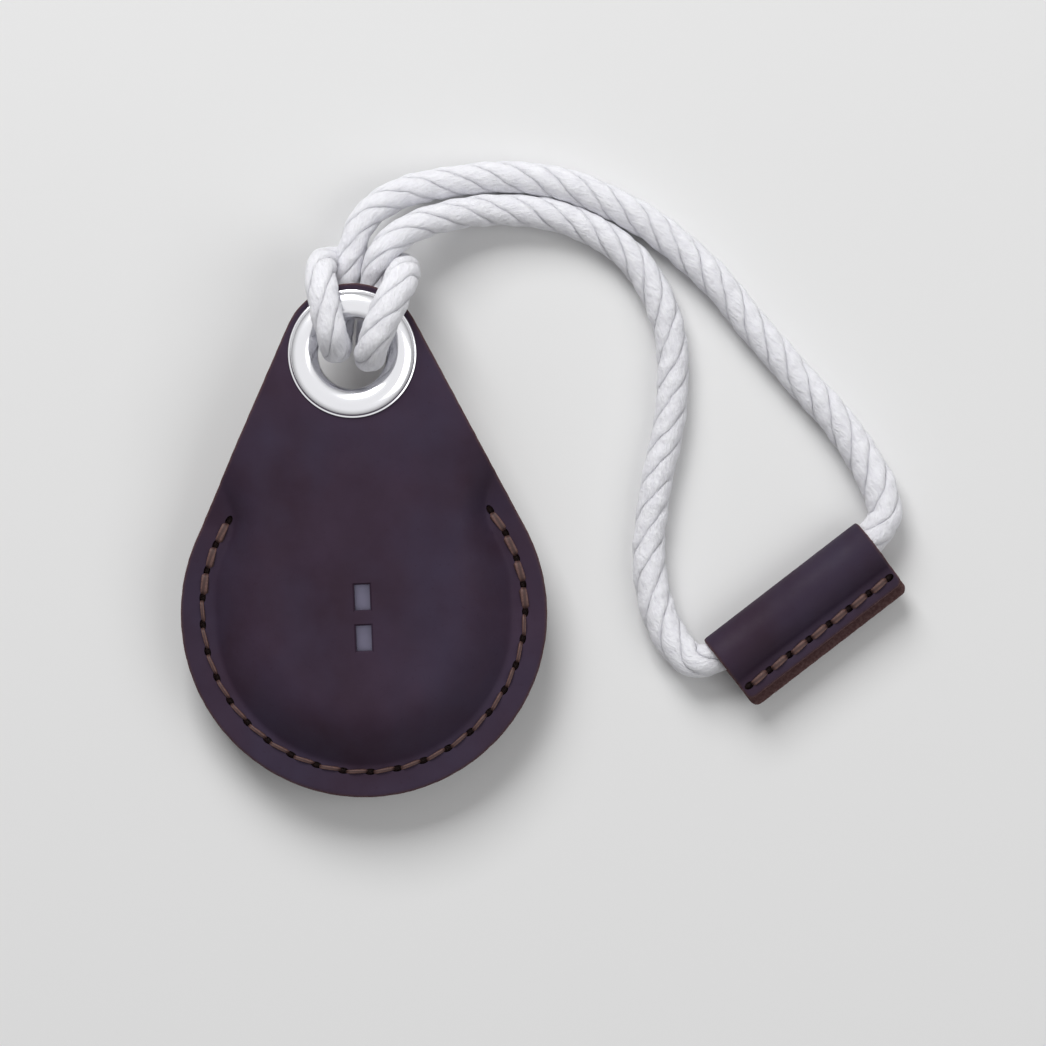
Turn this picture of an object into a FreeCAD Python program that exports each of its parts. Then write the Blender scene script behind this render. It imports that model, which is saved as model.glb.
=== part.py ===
"""Leather holder for a coin-shaped tracker tag, with a rope loop through its eyelet.

The holder lies on its back: +Z is up and out of the front panel, +Y points from the
round end to the eyelet, and the origin is under the middle of the leather outline.
All lengths are millimetres.
"""
import FreeCAD, Part
import math
import os

import Sketcher

Vector = FreeCAD.Vector
UP = Vector(0, 0, 1)

# Driving dimensions: cell alias, value
SIZES = [
    # Leather outline: a large round end and a small round tip
    ("pouch_margin", 8.05),
    ("tip_radius", 9.2),
    ("tip_rise", 34.0),
    ("leather", 1.6),
    # Pocket stack
    ("tag_radius", 15.95),
    ("tag_height", 8.0),
    ("tag_gap", 0.2),
    ("tag_drop", 0.4),
    ("seam_level", 5.6),
    ("seam_gap", 0.05),
    ("flat_sink", 0.05),
    # Moulded bulge over the tag
    ("plateau_inset", 4.45),
    ("dome_margin", 2.65),
    ("mouth_margin", 0.65),
    ("mouth_inset", 0.75),
    ("fold_reach", 1.4),
    ("droop_length", 9.8),
    ("fold_gap", 0.1),
    # Two plain slots over the tag
    ("slot_width", 2.2),
    ("slot_length", 3.65),
    ("slot_pitch", 5.33),
    # Saddle stitch round the pocket
    ("stitch_margin", 5.2),
    ("stitch_rise", 0.5),
    ("stitch_hole", 1.3),
    ("thread", 0.55),
    ("thread_pair", 0.62),
    ("thread_bend", 0.4),
    ("thread_lift", 0.05),
    # Eyelet and its washer
    ("eyelet_radius", 8.35),
    ("eyelet_bore", 4.45),
    ("eyelet_wall", 0.5),
    ("eyelet_crown", 1.1),
    ("eyelet_edge", 0.3),
    ("crown_inset", 0.95),
    ("crown_round", 0.7),
    ("eyelet_fit", 0.1),
    ("eyelet_seat", 0.03),
    ("washer_radius", 7.6),
    ("washer_thick", 0.7),
    ("roll_radius", 6.3),
    ("roll_thick", 0.35),
    # Rope and the sleeve that joins its ends
    ("rope", 4.0),
    ("rope_fit", 0.15),
    ("rope_end_gap", 0.6),
    ("sleeve_length", 25.0),
    ("flange_top_reach", 5.7),
    ("flange_low_reach", 6.9),
    ("flange_gap", 0.06),
    ("sleeve_stitch_reach", 4.6),
    ("sleeve_stitch_pitch", 3.3),
    # Tag casing
    ("band_height", 1.5),
    ("casing_wall", 1.0),
    ("shoulder_reach", 3.35),
    ("shoulder_rise", 3.1),
    ("belly_reach", 4.45),
    ("belly_rise", 2.8),
    ("belly_crown", 0.45),
    ("split_gap", 0.1),
    ("casing_round", 1.0),
    # Battery bay
    ("bay_inset", 5.65),
    ("bay_wall", 0.9),
    ("bay_floor", 0.7),
    ("bay_depth", 4.3),
    ("shelf_depth", 1.6),
    ("lip_inset", 3.45),
    ("lip_height", 0.65),
    ("track_inset", 2.65),
    # Twist-off battery cover
    ("cover_fit", 0.15),
    ("cover_thick", 0.6),
    ("skirt_wall", 0.7),
    ("skirt_inset", 0.25),
    ("lug_height", 0.5),
    ("seal_wall", 0.7),
    ("seal_inset", 0.2),
    # Cell, board, speaker and antenna
    ("cell_play", 0.3),
    ("cell_height", 3.2),
    ("contact_thick", 0.2),
    ("contact_play", 0.025),
    ("contact_width", 1.6),
    ("contact_height", 1.8),
    ("leaf_length", 7.0),
    ("leaf_width", 2.4),
    ("board_inset", 5.05),
    ("board_width", 5.5),
    ("board_thick", 0.8),
    ("part_gap", 0.1),
    ("chip_side", 3.2),
    ("chip_height", 0.7),
    ("chip_inset", 2.8),
    ("coil_margin", 0.4),
    ("magnet_height", 1.5),
    ("coil_gap", 0.3),
    ("coil_wall", 0.5),
    ("coil_height", 0.9),
    ("coil_lift", 0.12),
    ("antenna_gap", 0.3),
    ("antenna_wall", 2.6),
    ("antenna_height", 1.5),
]

# Counts and angles
STITCH_HOLES = 27
STITCH_SWEEP = 252.0
SLEEVE_HOLES = 8
LUGS = 3
LUG_ANGLE = 20.0
NOTCH_ANGLE = 26.0
NOTCH_TURN = 30.0
CHIP_TURNS = (25.0, 150.0, 265.0)
GRID_ACROSS = 97
GRID_ALONG = 129
CUBIC = 3

# Edges nearer than this to a profile's corner are its own
SAME_PLACE = 1e-4

# Shape of the bulge's flank: fullness and ease at the round end and at the mouth
FULLNESS_SHARES = (2.5, 5.0)
EASE_SHARES = (1.6, 1.5)
# Each arc of the rope takes this much of the shorter run beside it
ARC_SHARE = 0.45
# Where the casing splits in its band, and where the side contacts start on the cell
SPLIT_SHARE = 0.33
CONTACT_SHARE = 0.25
# Casing profiles, as shares of the reach and the rise
SHOULDER_SHARES = [(1.0, 0.0), (0.806, 0.5), (0.418, 0.839), (0.0, 1.0)]
BELLY_SHARES = [(0.0, 0.0), (0.562, 0.18), (0.854, 0.48), (1.0, 1.0)]

# Rope route from the sleeve's lower end, through the hitch, to its upper end
INNER_LEG = [
    (44.8, -19.15, 3.8),
    (40.4, -15.6, 2.9),
    (37.7, -7.6, 2.1),
    (38.3, 3.3, 2.1),
    (41.4, 14.2, 2.1),
    (42.5, 25.2, 2.1),
    (38.4, 34.8, 2.1),
    (30.2, 40.7, 2.1),
    (20.2, 42.7, 2.9),
]
HITCH = [
    (12.2, 41.6, 5.0),
    (7.6, 40.4, 7.2),
    (3.9, 37.4, 8.2),
    (2.9, 31.7, 6.4),
    (2.2, 24.1, 6.3),
    (2.2, 23.9, 15.1),
    (5.6, 31.1, 15.3),
    (8.6, 35.4, 12.6),
    (8.7, 36.4, 2.5),
    (-4.7, 38.1, 2.5),
    (-5.0, 36.8, 12.6),
    (-3.1, 32.0, 15.3),
    (-2.1, 25.1, 15.1),
    (-2.1, 25.3, 6.3),
    (-1.4, 32.4, 6.4),
    (-0.5, 37.9, 6.9),
    (1.6, 42.2, 6.4),
    (6.6, 45.6, 4.4),
    (14.6, 47.1, 2.7),
]
OUTER_LEG = [
    (25.2, 47.2, 2.1),
    (36.4, 42.8, 2.1),
    (46.6, 34.5, 2.1),
    (55.2, 23.2, 2.1),
    (64.3, 12.9, 2.1),
    (69.3, 4.0, 2.6),
    (69.0, -2.05, 3.8),
]


class Size:
    """A length with its value and the formula that binds it to the sheet."""

    def __init__(self, value, formula):
        self.value = value
        self.formula = formula

    def __add__(self, other):
        other = as_size(other)
        return Size(self.value + other.value, f"({self.formula} + {other.formula})")

    def __sub__(self, other):
        other = as_size(other)
        return Size(self.value - other.value, f"({self.formula} - {other.formula})")

    def __mul__(self, share):
        return Size(self.value * share, f"({self.formula} * {share})")

    def __float__(self):
        return float(self.value)


def as_size(value):
    """Give a plain number, which can only be zero, the same form as a size."""
    return value if isinstance(value, Size) else Size(value, str(value))


doc = FreeCAD.newDocument("tag_holder")
sheet = doc.addObject("Spreadsheet::Sheet", "sizes")
for row, (alias, value) in enumerate(SIZES, start=1):
    sheet.set(f"A{row}", alias)
    sheet.set(f"B{row}", str(value))
    sheet.setAlias(f"B{row}", alias)
doc.recompute()


class Sizes:
    """Every cell of the sheet by its alias."""

    def __getattr__(self, alias):
        return Size(float(sheet.get(alias)), f"sizes.{alias}")


S = Sizes()
ZERO = Size(0.0, "0")

# Radii that follow the tag: the leather and the seam round it, and what it holds
S.pouch_radius = S.tag_radius + S.pouch_margin
S.plateau_radius = S.tag_radius - S.plateau_inset
S.dome_radius = S.tag_radius + S.dome_margin
S.mouth_half_width = S.tag_radius + S.mouth_margin
S.stitch_radius = S.tag_radius + S.stitch_margin
S.bay_radius = S.tag_radius - S.bay_inset
S.lip_radius = S.tag_radius - S.lip_inset
S.track_radius = S.tag_radius - S.track_inset
S.cell_radius = S.bay_radius - S.cell_play
S.board_radius = S.tag_radius - S.board_inset
S.chip_reach = S.board_radius - S.chip_inset
S.board_hole = S.board_radius - S.board_width
S.magnet_radius = S.board_hole - S.coil_margin - S.coil_wall - S.coil_gap

# Places along the holder
outline_length = S.pouch_radius + S.tip_rise + S.tip_radius
round_end_y = ZERO - (outline_length * 0.5 - S.pouch_radius)
eyelet_y = round_end_y + S.tip_rise
tag_y = round_end_y - S.tag_drop
stitch_y = round_end_y + S.stitch_rise
mouth_y = round_end_y + S.tag_radius - S.mouth_inset
fold_y = mouth_y + S.fold_reach
droop_end_y = mouth_y + S.droop_length

# Heights in the pocket, from the table up
tag_base = S.leather + S.tag_gap
tag_top = tag_base + S.tag_height
panel_under = tag_top + S.tag_gap
panel_top = panel_under + S.leather
front_rim_under = S.seam_level + S.seam_gap
front_rim_top = front_rim_under + S.leather
back_rim_under = S.seam_level - S.leather
washer_under = panel_under - S.washer_thick
roll_under = washer_under - S.roll_thick
eyelet_top = panel_top + S.eyelet_crown
overrun = float(S.leather)

nodes = []


def check_volume(label, shape):
    """Stop if a shape is missing, broken or empty."""
    if shape.isNull() or not shape.isValid() or shape.Volume <= 0:
        raise RuntimeError(f"{label} has no valid solid")


def keep(obj, label):
    """Register an object as a sub-part under its own name."""
    obj.Label = label
    nodes.append(obj)
    return obj


def keep_shape(label, shape):
    """Register a shape made with Part's own functions as a sub-part."""
    check_volume(label, shape)
    feature = doc.addObject("Part::Feature", label)
    feature.Shape = shape
    return keep(feature, label)


def bind(obj, **formulas):
    """Bind an object's properties to sizes of the sheet."""
    for name, size in formulas.items():
        obj.setExpression(name, as_size(size).formula)


def place(obj, x=ZERO, y=ZERO, z=ZERO):
    """Bind the position of an object to sizes of the sheet."""
    obj.setExpression("Placement.Base.x", as_size(x).formula)
    obj.setExpression("Placement.Base.y", as_size(y).formula)
    obj.setExpression("Placement.Base.z", as_size(z).formula)


# Turned pieces
def turned_body(label, corners, axis_y):
    """Make a body by turning a closed profile of (radius, height) corners about Z."""
    body = doc.addObject("PartDesign::Body", label + "_body")
    sketch = body.newObject("Sketcher::SketchObject", label + "_profile")
    plane = [f for f in body.Origin.OriginFeatures if f.Role == "XZ_Plane"][0]
    sketch.AttachmentSupport = [(plane, "")]
    sketch.MapMode = "FlatFace"
    points = [Vector(float(r), float(z), 0) for r, z in corners]
    count = len(points)
    for i in range(count):
        sketch.addGeometry(Part.LineSegment(points[i], points[(i + 1) % count]), False)
    for i in range(count):
        sketch.addConstraint(Sketcher.Constraint("Coincident", i, 2, (i + 1) % count, 1))
    for i, (r, z) in enumerate(corners):
        if float(r) == 0:
            sketch.addConstraint(Sketcher.Constraint("PointOnObject", i, 1, -2))
        else:
            index = sketch.addConstraint(Sketcher.Constraint("DistanceX", -1, 1, i, 1, float(r)))
            sketch.setExpression(f"Constraints[{index}]", as_size(r).formula)
        index = sketch.addConstraint(Sketcher.Constraint("DistanceY", -1, 1, i, 1, float(z)))
        sketch.setExpression(f"Constraints[{index}]", as_size(z).formula)
    turn = body.newObject("PartDesign::Revolution", label + "_turn")
    turn.Profile = sketch
    turn.ReferenceAxis = (sketch, ["V_Axis"])
    turn.Angle = 360.0
    place(body, y=axis_y)
    doc.recompute()
    return body


def round_rings(body, corners, radius):
    """Round the ring edges of a turned body that pass through the given corners."""
    base = body.Tip
    names = []
    for number, edge in enumerate(base.Shape.Edges, start=1):
        curve = edge.Curve
        if not isinstance(curve, Part.Circle):
            continue
        for r, z in corners:
            same_radius = abs(curve.Radius - float(r)) < SAME_PLACE
            same_height = abs(curve.Center.z - float(z)) < SAME_PLACE
            if same_radius and same_height:
                names.append(f"Edge{number}")
    fillet = body.newObject("PartDesign::Fillet", body.Name + "_round")
    fillet.Base = (base, names)
    fillet.setExpression("Radius", radius.formula)
    doc.recompute()
    return fillet


def sector(label, radius, height, angle, turn, axis_y, z):
    """Make a cylinder sector that is centred on the given turn about Z."""
    piece = doc.addObject("Part::Cylinder", label)
    piece.Angle = angle
    bind(piece, Radius=radius, Height=height)
    place(piece, y=axis_y, z=z)
    piece.Placement.Rotation = FreeCAD.Rotation(UP, turn - angle / 2)
    return piece


# Eyelet through the tip of the leather
crown_edge = S.eyelet_radius - S.crown_inset
crown_lip = S.eyelet_bore + S.crown_inset
eyelet_seat_z = panel_top + S.eyelet_seat
eyelet_edge_z = eyelet_seat_z + S.eyelet_edge
barrel = S.eyelet_bore + S.eyelet_wall
eyelet = turned_body("eyelet", [
    (S.eyelet_bore, roll_under),
    (S.roll_radius, roll_under),
    (S.roll_radius, washer_under - S.eyelet_seat),
    (barrel, washer_under - S.eyelet_seat),
    (barrel, eyelet_seat_z),
    (S.eyelet_radius, eyelet_seat_z),
    (S.eyelet_radius, eyelet_edge_z),
    (crown_edge, eyelet_top),
    (crown_lip, eyelet_top),
    (S.eyelet_bore, eyelet_edge_z),
], eyelet_y)
round_rings(eyelet, [(crown_edge, eyelet_top), (crown_lip, eyelet_top)], S.crown_round)
keep(eyelet, "eyelet")

eyelet_washer = turned_body("eyelet_washer", [
    (barrel + S.eyelet_fit, washer_under),
    (S.washer_radius, washer_under),
    (S.washer_radius, panel_under - S.eyelet_seat),
    (barrel + S.eyelet_fit, panel_under - S.eyelet_seat),
], eyelet_y)
keep(eyelet_washer, "eyelet_washer")

# Tag casing: a belly shell below and a frame with the battery bay above
band_top = tag_top - S.shoulder_rise - S.cover_fit
band_base = band_top - S.band_height
split_z = band_top - S.band_height * SPLIT_SHARE
belly_inner = S.tag_radius - S.belly_reach
belly_side = [
    (belly_inner + S.belly_reach * r, band_base - S.belly_rise * (1.0 - z))
    for r, z in BELLY_SHARES
]
belly_floor = tag_base + S.casing_wall
tag_shell = turned_body("tag_shell", [
    (ZERO, tag_base),
    *belly_side,
    (S.tag_radius, split_z),
    (S.tag_radius - S.casing_wall, split_z),
    (S.tag_radius - S.casing_wall, band_base),
    (belly_side[2][0] - S.casing_wall, belly_side[2][1] + S.casing_wall * 0.5),
    (belly_side[1][0] - S.casing_wall * 0.5, belly_side[1][1] + S.casing_wall),
    (belly_inner, belly_floor + S.belly_crown * 0.5),
    (ZERO, belly_floor),
], tag_y)
round_rings(tag_shell, belly_side[1:3], S.casing_round)
keep(tag_shell, "tag_shell")

lip_top = band_top + S.shoulder_rise
lip_under = lip_top - S.lip_height
shelf_z = lip_top - S.shelf_depth + S.cover_fit
bay_floor_z = lip_top - S.bay_depth + S.cover_fit
bay_outer = S.bay_radius + S.bay_wall
frame_seat = split_z + S.split_gap
shoulder_inner = S.tag_radius - S.shoulder_reach
shoulder_side = [
    (shoulder_inner + S.shoulder_reach * r, band_top + S.shoulder_rise * z)
    for r, z in SHOULDER_SHARES
]
frame_blank = turned_body("tag_frame_blank", [
    (ZERO, bay_floor_z - S.bay_floor),
    (bay_outer, bay_floor_z - S.bay_floor),
    (bay_outer, frame_seat),
    (S.tag_radius, frame_seat),
    *shoulder_side,
    (S.lip_radius, lip_top),
    (S.lip_radius, lip_under),
    (S.track_radius, lip_under),
    (S.track_radius, shelf_z),
    (S.bay_radius, shelf_z),
    (S.bay_radius, bay_floor_z),
    (ZERO, bay_floor_z),
], tag_y)
round_rings(frame_blank, shoulder_side[1:3], S.casing_round)
notches = doc.addObject("Part::MultiFuse", "cover_notches")
notches.Shapes = [
    sector(f"cover_notch_{i}", S.track_radius, S.lip_height + S.lip_height, NOTCH_ANGLE,
           NOTCH_TURN + i * 360.0 / LUGS, tag_y, lip_under - S.cover_fit)
    for i in range(LUGS)
]
tag_frame = doc.addObject("Part::Cut", "tag_frame_cut")
tag_frame.Base = frame_blank
tag_frame.Tool = notches
keep(tag_frame, "tag_frame")

# Twist-off battery cover with three lugs under the frame's lip
cover_radius = S.lip_radius - S.cover_fit
cover_under = tag_top - S.cover_thick
skirt_outer = cover_radius - S.skirt_inset
skirt_base = shelf_z + S.cover_fit
cover_blank = turned_body("battery_cover_blank", [
    (ZERO, cover_under),
    (skirt_outer - S.skirt_wall, cover_under),
    (skirt_outer - S.skirt_wall, skirt_base),
    (skirt_outer, skirt_base),
    (skirt_outer, cover_under),
    (cover_radius, cover_under),
    (cover_radius, tag_top - S.cover_fit),
    (cover_radius - S.cover_fit, tag_top),
    (ZERO, tag_top),
], tag_y)
lug_core = doc.addObject("Part::Cylinder", "cover_lug_core")
bind(lug_core, Radius=skirt_outer - S.skirt_wall * 0.5, Height=S.lug_height)
place(lug_core, y=tag_y, z=skirt_base)
lug_sectors = doc.addObject("Part::MultiFuse", "cover_lug_sectors")
lug_sectors.Shapes = [
    sector(f"cover_lug_{i}", S.track_radius - S.cover_fit, S.lug_height, LUG_ANGLE,
           i * 360.0 / LUGS, tag_y, skirt_base)
    for i in range(LUGS)
]
lugs = doc.addObject("Part::Cut", "cover_lugs")
lugs.Base = lug_sectors
lugs.Tool = lug_core
battery_cover = doc.addObject("Part::Fuse", "battery_cover_fuse")
battery_cover.Base = cover_blank
battery_cover.Tool = lugs
keep(battery_cover, "battery_cover")

# Ring-shaped inner pieces of the tag
seal_outer = skirt_outer - S.skirt_wall - S.seal_inset
keep(turned_body("seal_ring", [
    (seal_outer - S.seal_wall, shelf_z),
    (seal_outer, shelf_z),
    (seal_outer, cover_under - S.seam_gap),
    (seal_outer - S.seal_wall, cover_under - S.seam_gap),
], tag_y), "seal_ring")

cell_base = bay_floor_z + S.contact_play + S.contact_thick + S.contact_play
coin_cell = turned_body("coin_cell", [
    (ZERO, cell_base),
    (S.cell_radius - S.contact_thick, cell_base),
    (S.cell_radius, cell_base + S.contact_thick),
    (S.cell_radius, cell_base + S.cell_height),
    (ZERO, cell_base + S.cell_height),
], tag_y)
keep(coin_cell, "coin_cell")

board_top = bay_floor_z - S.bay_floor - S.part_gap
board_under = board_top - S.board_thick
keep(turned_body("circuit_board", [
    (S.board_hole, board_under),
    (S.board_radius, board_under),
    (S.board_radius, board_top),
    (S.board_hole, board_top),
], tag_y), "circuit_board")

magnet_top = bay_floor_z - S.bay_floor - S.seam_gap
keep(turned_body("speaker_magnet", [
    (ZERO, magnet_top - S.magnet_height),
    (S.magnet_radius, magnet_top - S.magnet_height),
    (S.magnet_radius, magnet_top),
    (ZERO, magnet_top),
], tag_y), "speaker_magnet")

coil_inner = S.magnet_radius + S.coil_gap
coil_base = belly_floor + S.coil_lift
keep(turned_body("voice_coil", [
    (coil_inner, coil_base),
    (coil_inner + S.coil_wall, coil_base),
    (coil_inner + S.coil_wall, coil_base + S.coil_height),
    (coil_inner, coil_base + S.coil_height),
], tag_y), "voice_coil")

antenna_inner = bay_outer + S.antenna_gap
keep(turned_body("antenna_ring", [
    (antenna_inner, frame_seat - S.part_gap - S.antenna_height),
    (antenna_inner + S.antenna_wall, frame_seat - S.part_gap - S.antenna_height),
    (antenna_inner + S.antenna_wall, frame_seat - S.part_gap),
    (antenna_inner, frame_seat - S.part_gap),
], tag_y), "antenna_ring")


def boxes(label, specs):
    """Join boxes given as (length, width, height, x, y, z, turn) into one sub-part."""
    pieces = []
    for i, (length, width, height, x, y, z, turn) in enumerate(specs):
        piece = doc.addObject("Part::Box", f"{label}_{i}")
        bind(piece, Length=length, Width=width, Height=height)
        shift = Vector(-float(length) / 2 + float(x), -float(width) / 2 + float(y), float(z))
        spin = FreeCAD.Rotation(UP, turn)
        axis = Vector(0, float(tag_y), 0)
        piece.Placement = FreeCAD.Placement(axis + spin.multVec(shift), spin)
        pieces.append(piece)
    group = doc.addObject("Part::Compound", label + "_group")
    group.Links = pieces
    return keep(group, label)


contact_x = S.cell_radius + S.contact_play + S.contact_thick * 0.5
side_contact = (S.contact_thick, S.contact_width, S.contact_height, contact_x, ZERO,
                cell_base + S.cell_height * CONTACT_SHARE)
boxes("battery_contacts", [
    (S.leaf_length, S.leaf_width, S.contact_thick, ZERO, ZERO, bay_floor_z + S.contact_play, 0),
    (*side_contact, 0),
    (*side_contact, 180),
])
boxes("board_chips", [
    (S.chip_side, S.chip_side, S.chip_height, S.chip_reach, ZERO, board_under - S.chip_height, turn)
    for turn in CHIP_TURNS
])


# Tubes along runs joined by arcs
def rounded_wire(points, bend=None):
    """Join points by straight runs and tangent arcs; return the wire and the radii."""
    edges = []
    radii = []
    last = points[0]
    for before, corner, after in zip(points, points[1:], points[2:]):
        back = (before - corner).normalize()
        ahead = (after - corner).normalize()
        half_turn = (math.pi - back.getAngle(ahead)) / 2
        if bend is None:
            shorter = min((before - corner).Length, (after - corner).Length)
            radius = ARC_SHARE * shorter / math.tan(half_turn)
        else:
            radius = bend
        tangent = radius * math.tan(half_turn)
        start = corner + back * tangent
        end = corner + ahead * tangent
        inward = (back + ahead).normalize()
        middle = corner + inward * (radius / math.cos(half_turn) - radius)
        edges.append(Part.LineSegment(last, start).toShape())
        edges.append(Part.Arc(start, middle, end).toShape())
        radii.append(radius)
        last = end
    edges.append(Part.LineSegment(last, points[-1]).toShape())
    return Part.Wire(edges), radii


def tube(label, points, diameter, bend=None):
    """Sweep a round section along the rounded route and compare its volume."""
    wire, radii = rounded_wire(points, bend)
    section = Part.Wire(Part.makeCircle(diameter / 2, points[0], points[1] - points[0]))
    sweep = Part.BRepOffsetAPI.MakePipeShell(wire)
    sweep.add(section)
    sweep.build()
    sweep.makeSolid()
    shape = sweep.shape()
    check_volume(label, shape)
    expected = math.pi * diameter ** 2 / 4 * wire.Length
    print(f"{label}: length {wire.Length:.1f}, least radius {min(radii):.2f}, "
          f"volume ratio {shape.Volume / expected:.4f}")
    return shape, wire


def least_gap(wire, diameter, count=500):
    """Measure the least gap between stretches of a tube, on points along its wire."""
    points = wire.discretize(Number=count)
    step = wire.Length / (count - 1)
    apart = int(math.pi * diameter / step)
    gaps = [
        points[i].distanceToPoint(points[j])
        for i in range(count)
        for j in range(i + apart, count)
    ]
    return min(gaps) - diameter


rope = float(S.rope)
inner_leg = [Vector(*point) for point in INNER_LEG]
hitch = [Vector(*point) for point in HITCH]
outer_leg = [Vector(*point) for point in OUTER_LEG]
inner_cut = (inner_leg[-1] + hitch[0]) * 0.5
outer_cut = (hitch[-1] + outer_leg[0]) * 0.5
sleeve_axis = (outer_leg[-1] - inner_leg[0]).normalize()
sleeve_middle = (outer_leg[-1] + inner_leg[0]) * 0.5
end_shift = sleeve_axis * (float(S.rope_end_gap) / 2)

inner_points = [sleeve_middle - end_shift, *inner_leg, inner_cut]
hitch_points = [inner_cut, *hitch, outer_cut]
outer_points = [outer_cut, *outer_leg, sleeve_middle + end_shift]
rope_length = 0.0
for label, points in (
    ("rope_leg_inner", inner_points),
    ("rope_hitch", hitch_points),
    ("rope_leg_outer", outer_points),
):
    shape, wire = tube(label, points, rope)
    keep_shape(label, shape)
    rope_length += wire.Length
    print(f"{label}: least gap to itself {least_gap(wire, rope):.2f}")
print(f"rope length {rope_length:.1f}")


# Leather sleeve folded round the rope's ends, its two edges sewn together
sleeve_bore = rope / 2 + float(S.rope_fit)
sleeve_outer = sleeve_bore + float(S.leather)
sleeve_length = float(S.sleeve_length)
side = sleeve_axis.cross(UP)
sleeve_start = sleeve_middle - sleeve_axis * (sleeve_length / 2)


def flange(reach, low, high):
    """Make one leather layer of the sewn edge, from the rope's middle out to its reach."""
    corners = [
        sleeve_start + UP * low,
        sleeve_start + UP * high,
        sleeve_start + UP * high + side * reach,
        sleeve_start + UP * low + side * reach,
    ]
    face = Part.Face(Part.makePolygon(corners + corners[:1]))
    return face.extrude(sleeve_axis * sleeve_length)


layer_gap = float(S.flange_gap) / 2
layer = float(S.leather)
wrap = Part.makeCylinder(sleeve_outer, sleeve_length, sleeve_start, sleeve_axis)
sleeve = wrap.fuse([
    flange(float(S.flange_top_reach), layer_gap, layer_gap + layer),
    flange(float(S.flange_low_reach), -layer_gap - layer, -layer_gap),
])
slit = flange(float(S.flange_low_reach) + overrun, -layer_gap, layer_gap)
bore = Part.makeCylinder(sleeve_bore, sleeve_length, sleeve_start, sleeve_axis)
sleeve = sleeve.cut([bore, slit])

sleeve_span = float(S.sleeve_stitch_pitch) * (SLEEVE_HOLES - 1)
sleeve_row = [
    sleeve_middle + side * float(S.sleeve_stitch_reach)
    + sleeve_axis * (float(S.sleeve_stitch_pitch) * i - sleeve_span / 2)
    for i in range(SLEEVE_HOLES)
]
hole_radius = float(S.stitch_hole) / 2
hole_height = float(panel_top)
sleeve = sleeve.cut([
    Part.makeCylinder(hole_radius, hole_height, point - UP * (hole_height / 2), UP)
    for point in sleeve_row
])
keep_shape("sleeve", sleeve)


# Saddle stitch: two threads that take turns on the front and the back
def saddle_stitch(label, row, high, low):
    """Sew both threads through a row of holes between the two given heights."""
    pair = float(S.thread_pair) / 2
    middle = (high + low) / 2
    count = len(row)
    threads = []
    for first_up, shift in ((True, -pair), (False, pair)):
        places = []
        for i in range(count):
            along = (row[min(i + 1, count - 1)] - row[max(i - 1, 0)]).normalize()
            spot = row[i] + along * shift
            places.append(Vector(spot.x, spot.y, 0))
        points = [places[0] + UP * middle]
        up = first_up
        for i in range(count - 1):
            level = UP * (high if up else low)
            points += [places[i] + level, places[i + 1] + level]
            up = not up
        points.append(places[-1] + UP * middle)
        shape, _ = tube(label, points, float(S.thread), float(S.thread_bend))
        threads.append(shape)
    return keep_shape(label, Part.makeCompound(threads))


thread_reach = float(S.thread) / 2 + float(S.thread_lift)
first_angle = -90.0 - STITCH_SWEEP / 2
seam_row = []
for i in range(STITCH_HOLES):
    angle = math.radians(first_angle + STITCH_SWEEP * i / (STITCH_HOLES - 1))
    arm = Vector(math.cos(angle), math.sin(angle), 0) * float(S.stitch_radius)
    seam_row.append(Vector(0, float(stitch_y), 0) + arm)
saddle_stitch("seam_thread", seam_row, float(front_rim_top) + thread_reach,
              float(back_rim_under) - thread_reach)
flange_half = layer_gap + layer + thread_reach
saddle_stitch("sleeve_thread", sleeve_row, sleeve_middle.z + flange_half,
              sleeve_middle.z - flange_half)


# Moulded leather panels
def smooth(share):
    """Ease from 0 to 1 over the range 0 to 1."""
    share = min(max(share, 0.0), 1.0)
    return share * share * (3 - 2 * share)


last_stitch_y = max(point.y for point in seam_row)


def bulge(x, y):
    """Share of the full bulge at a place: 1 over the tag's face, 0 on the sewn rim."""
    up = y - float(tag_y)
    rise = smooth(up / (last_stitch_y - float(tag_y)))
    reach = math.hypot(x, min(up, 0.0))
    dome = float(S.dome_radius)
    foot = dome + (float(S.mouth_half_width) - dome) * rise
    plateau = float(S.plateau_radius)
    flank = min(max((reach - plateau) / (foot - plateau), 0.0), 1.0)
    fullness = FULLNESS_SHARES[0] + (FULLNESS_SHARES[1] - FULLNESS_SHARES[0]) * rise
    ease = EASE_SHARES[0] + (EASE_SHARES[1] - EASE_SHARES[0]) * rise
    return (1 - flank ** fullness) ** ease


def front_top(x, y):
    """Height of the front panel's outer face: level from the bulge to the eyelet."""
    droop = 1 - smooth((y - float(mouth_y)) / (float(droop_end_y) - float(mouth_y)))
    fall = float(panel_top - front_rim_top)
    return float(panel_top) - fall * droop * (1 - bulge(x, y))


def back_top(x, y):
    """Height of the pocket's inner face, a flat floor with rising flanks."""
    floor = float(S.leather - S.flat_sink)
    return floor + float(S.seam_level - S.leather + S.flat_sink) * (1 - bulge(x, y))


def outline_prism():
    """Make the upright prism of the leather outline, from the table past the front."""
    big = float(S.pouch_radius)
    small = float(S.tip_radius)
    lean = math.asin((big - small) / float(S.tip_rise))
    low = Vector(0, float(round_end_y), 0)
    high = Vector(0, float(eyelet_y), 0)
    right = Vector(math.cos(lean), math.sin(lean), 0)
    left = Vector(-math.cos(lean), math.sin(lean), 0)
    down = Vector(0, -1, 0)
    edges = [
        Part.Arc(low + left * big, low + down * big, low + right * big).toShape(),
        Part.LineSegment(low + right * big, high + right * small).toShape(),
        Part.Arc(high + right * small, high - down * small, high + left * small).toShape(),
        Part.LineSegment(high + left * small, low + left * big).toShape(),
    ]
    return Part.Face(Part.Wire(edges)).extrude(UP * (float(panel_top) + overrun))


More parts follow.
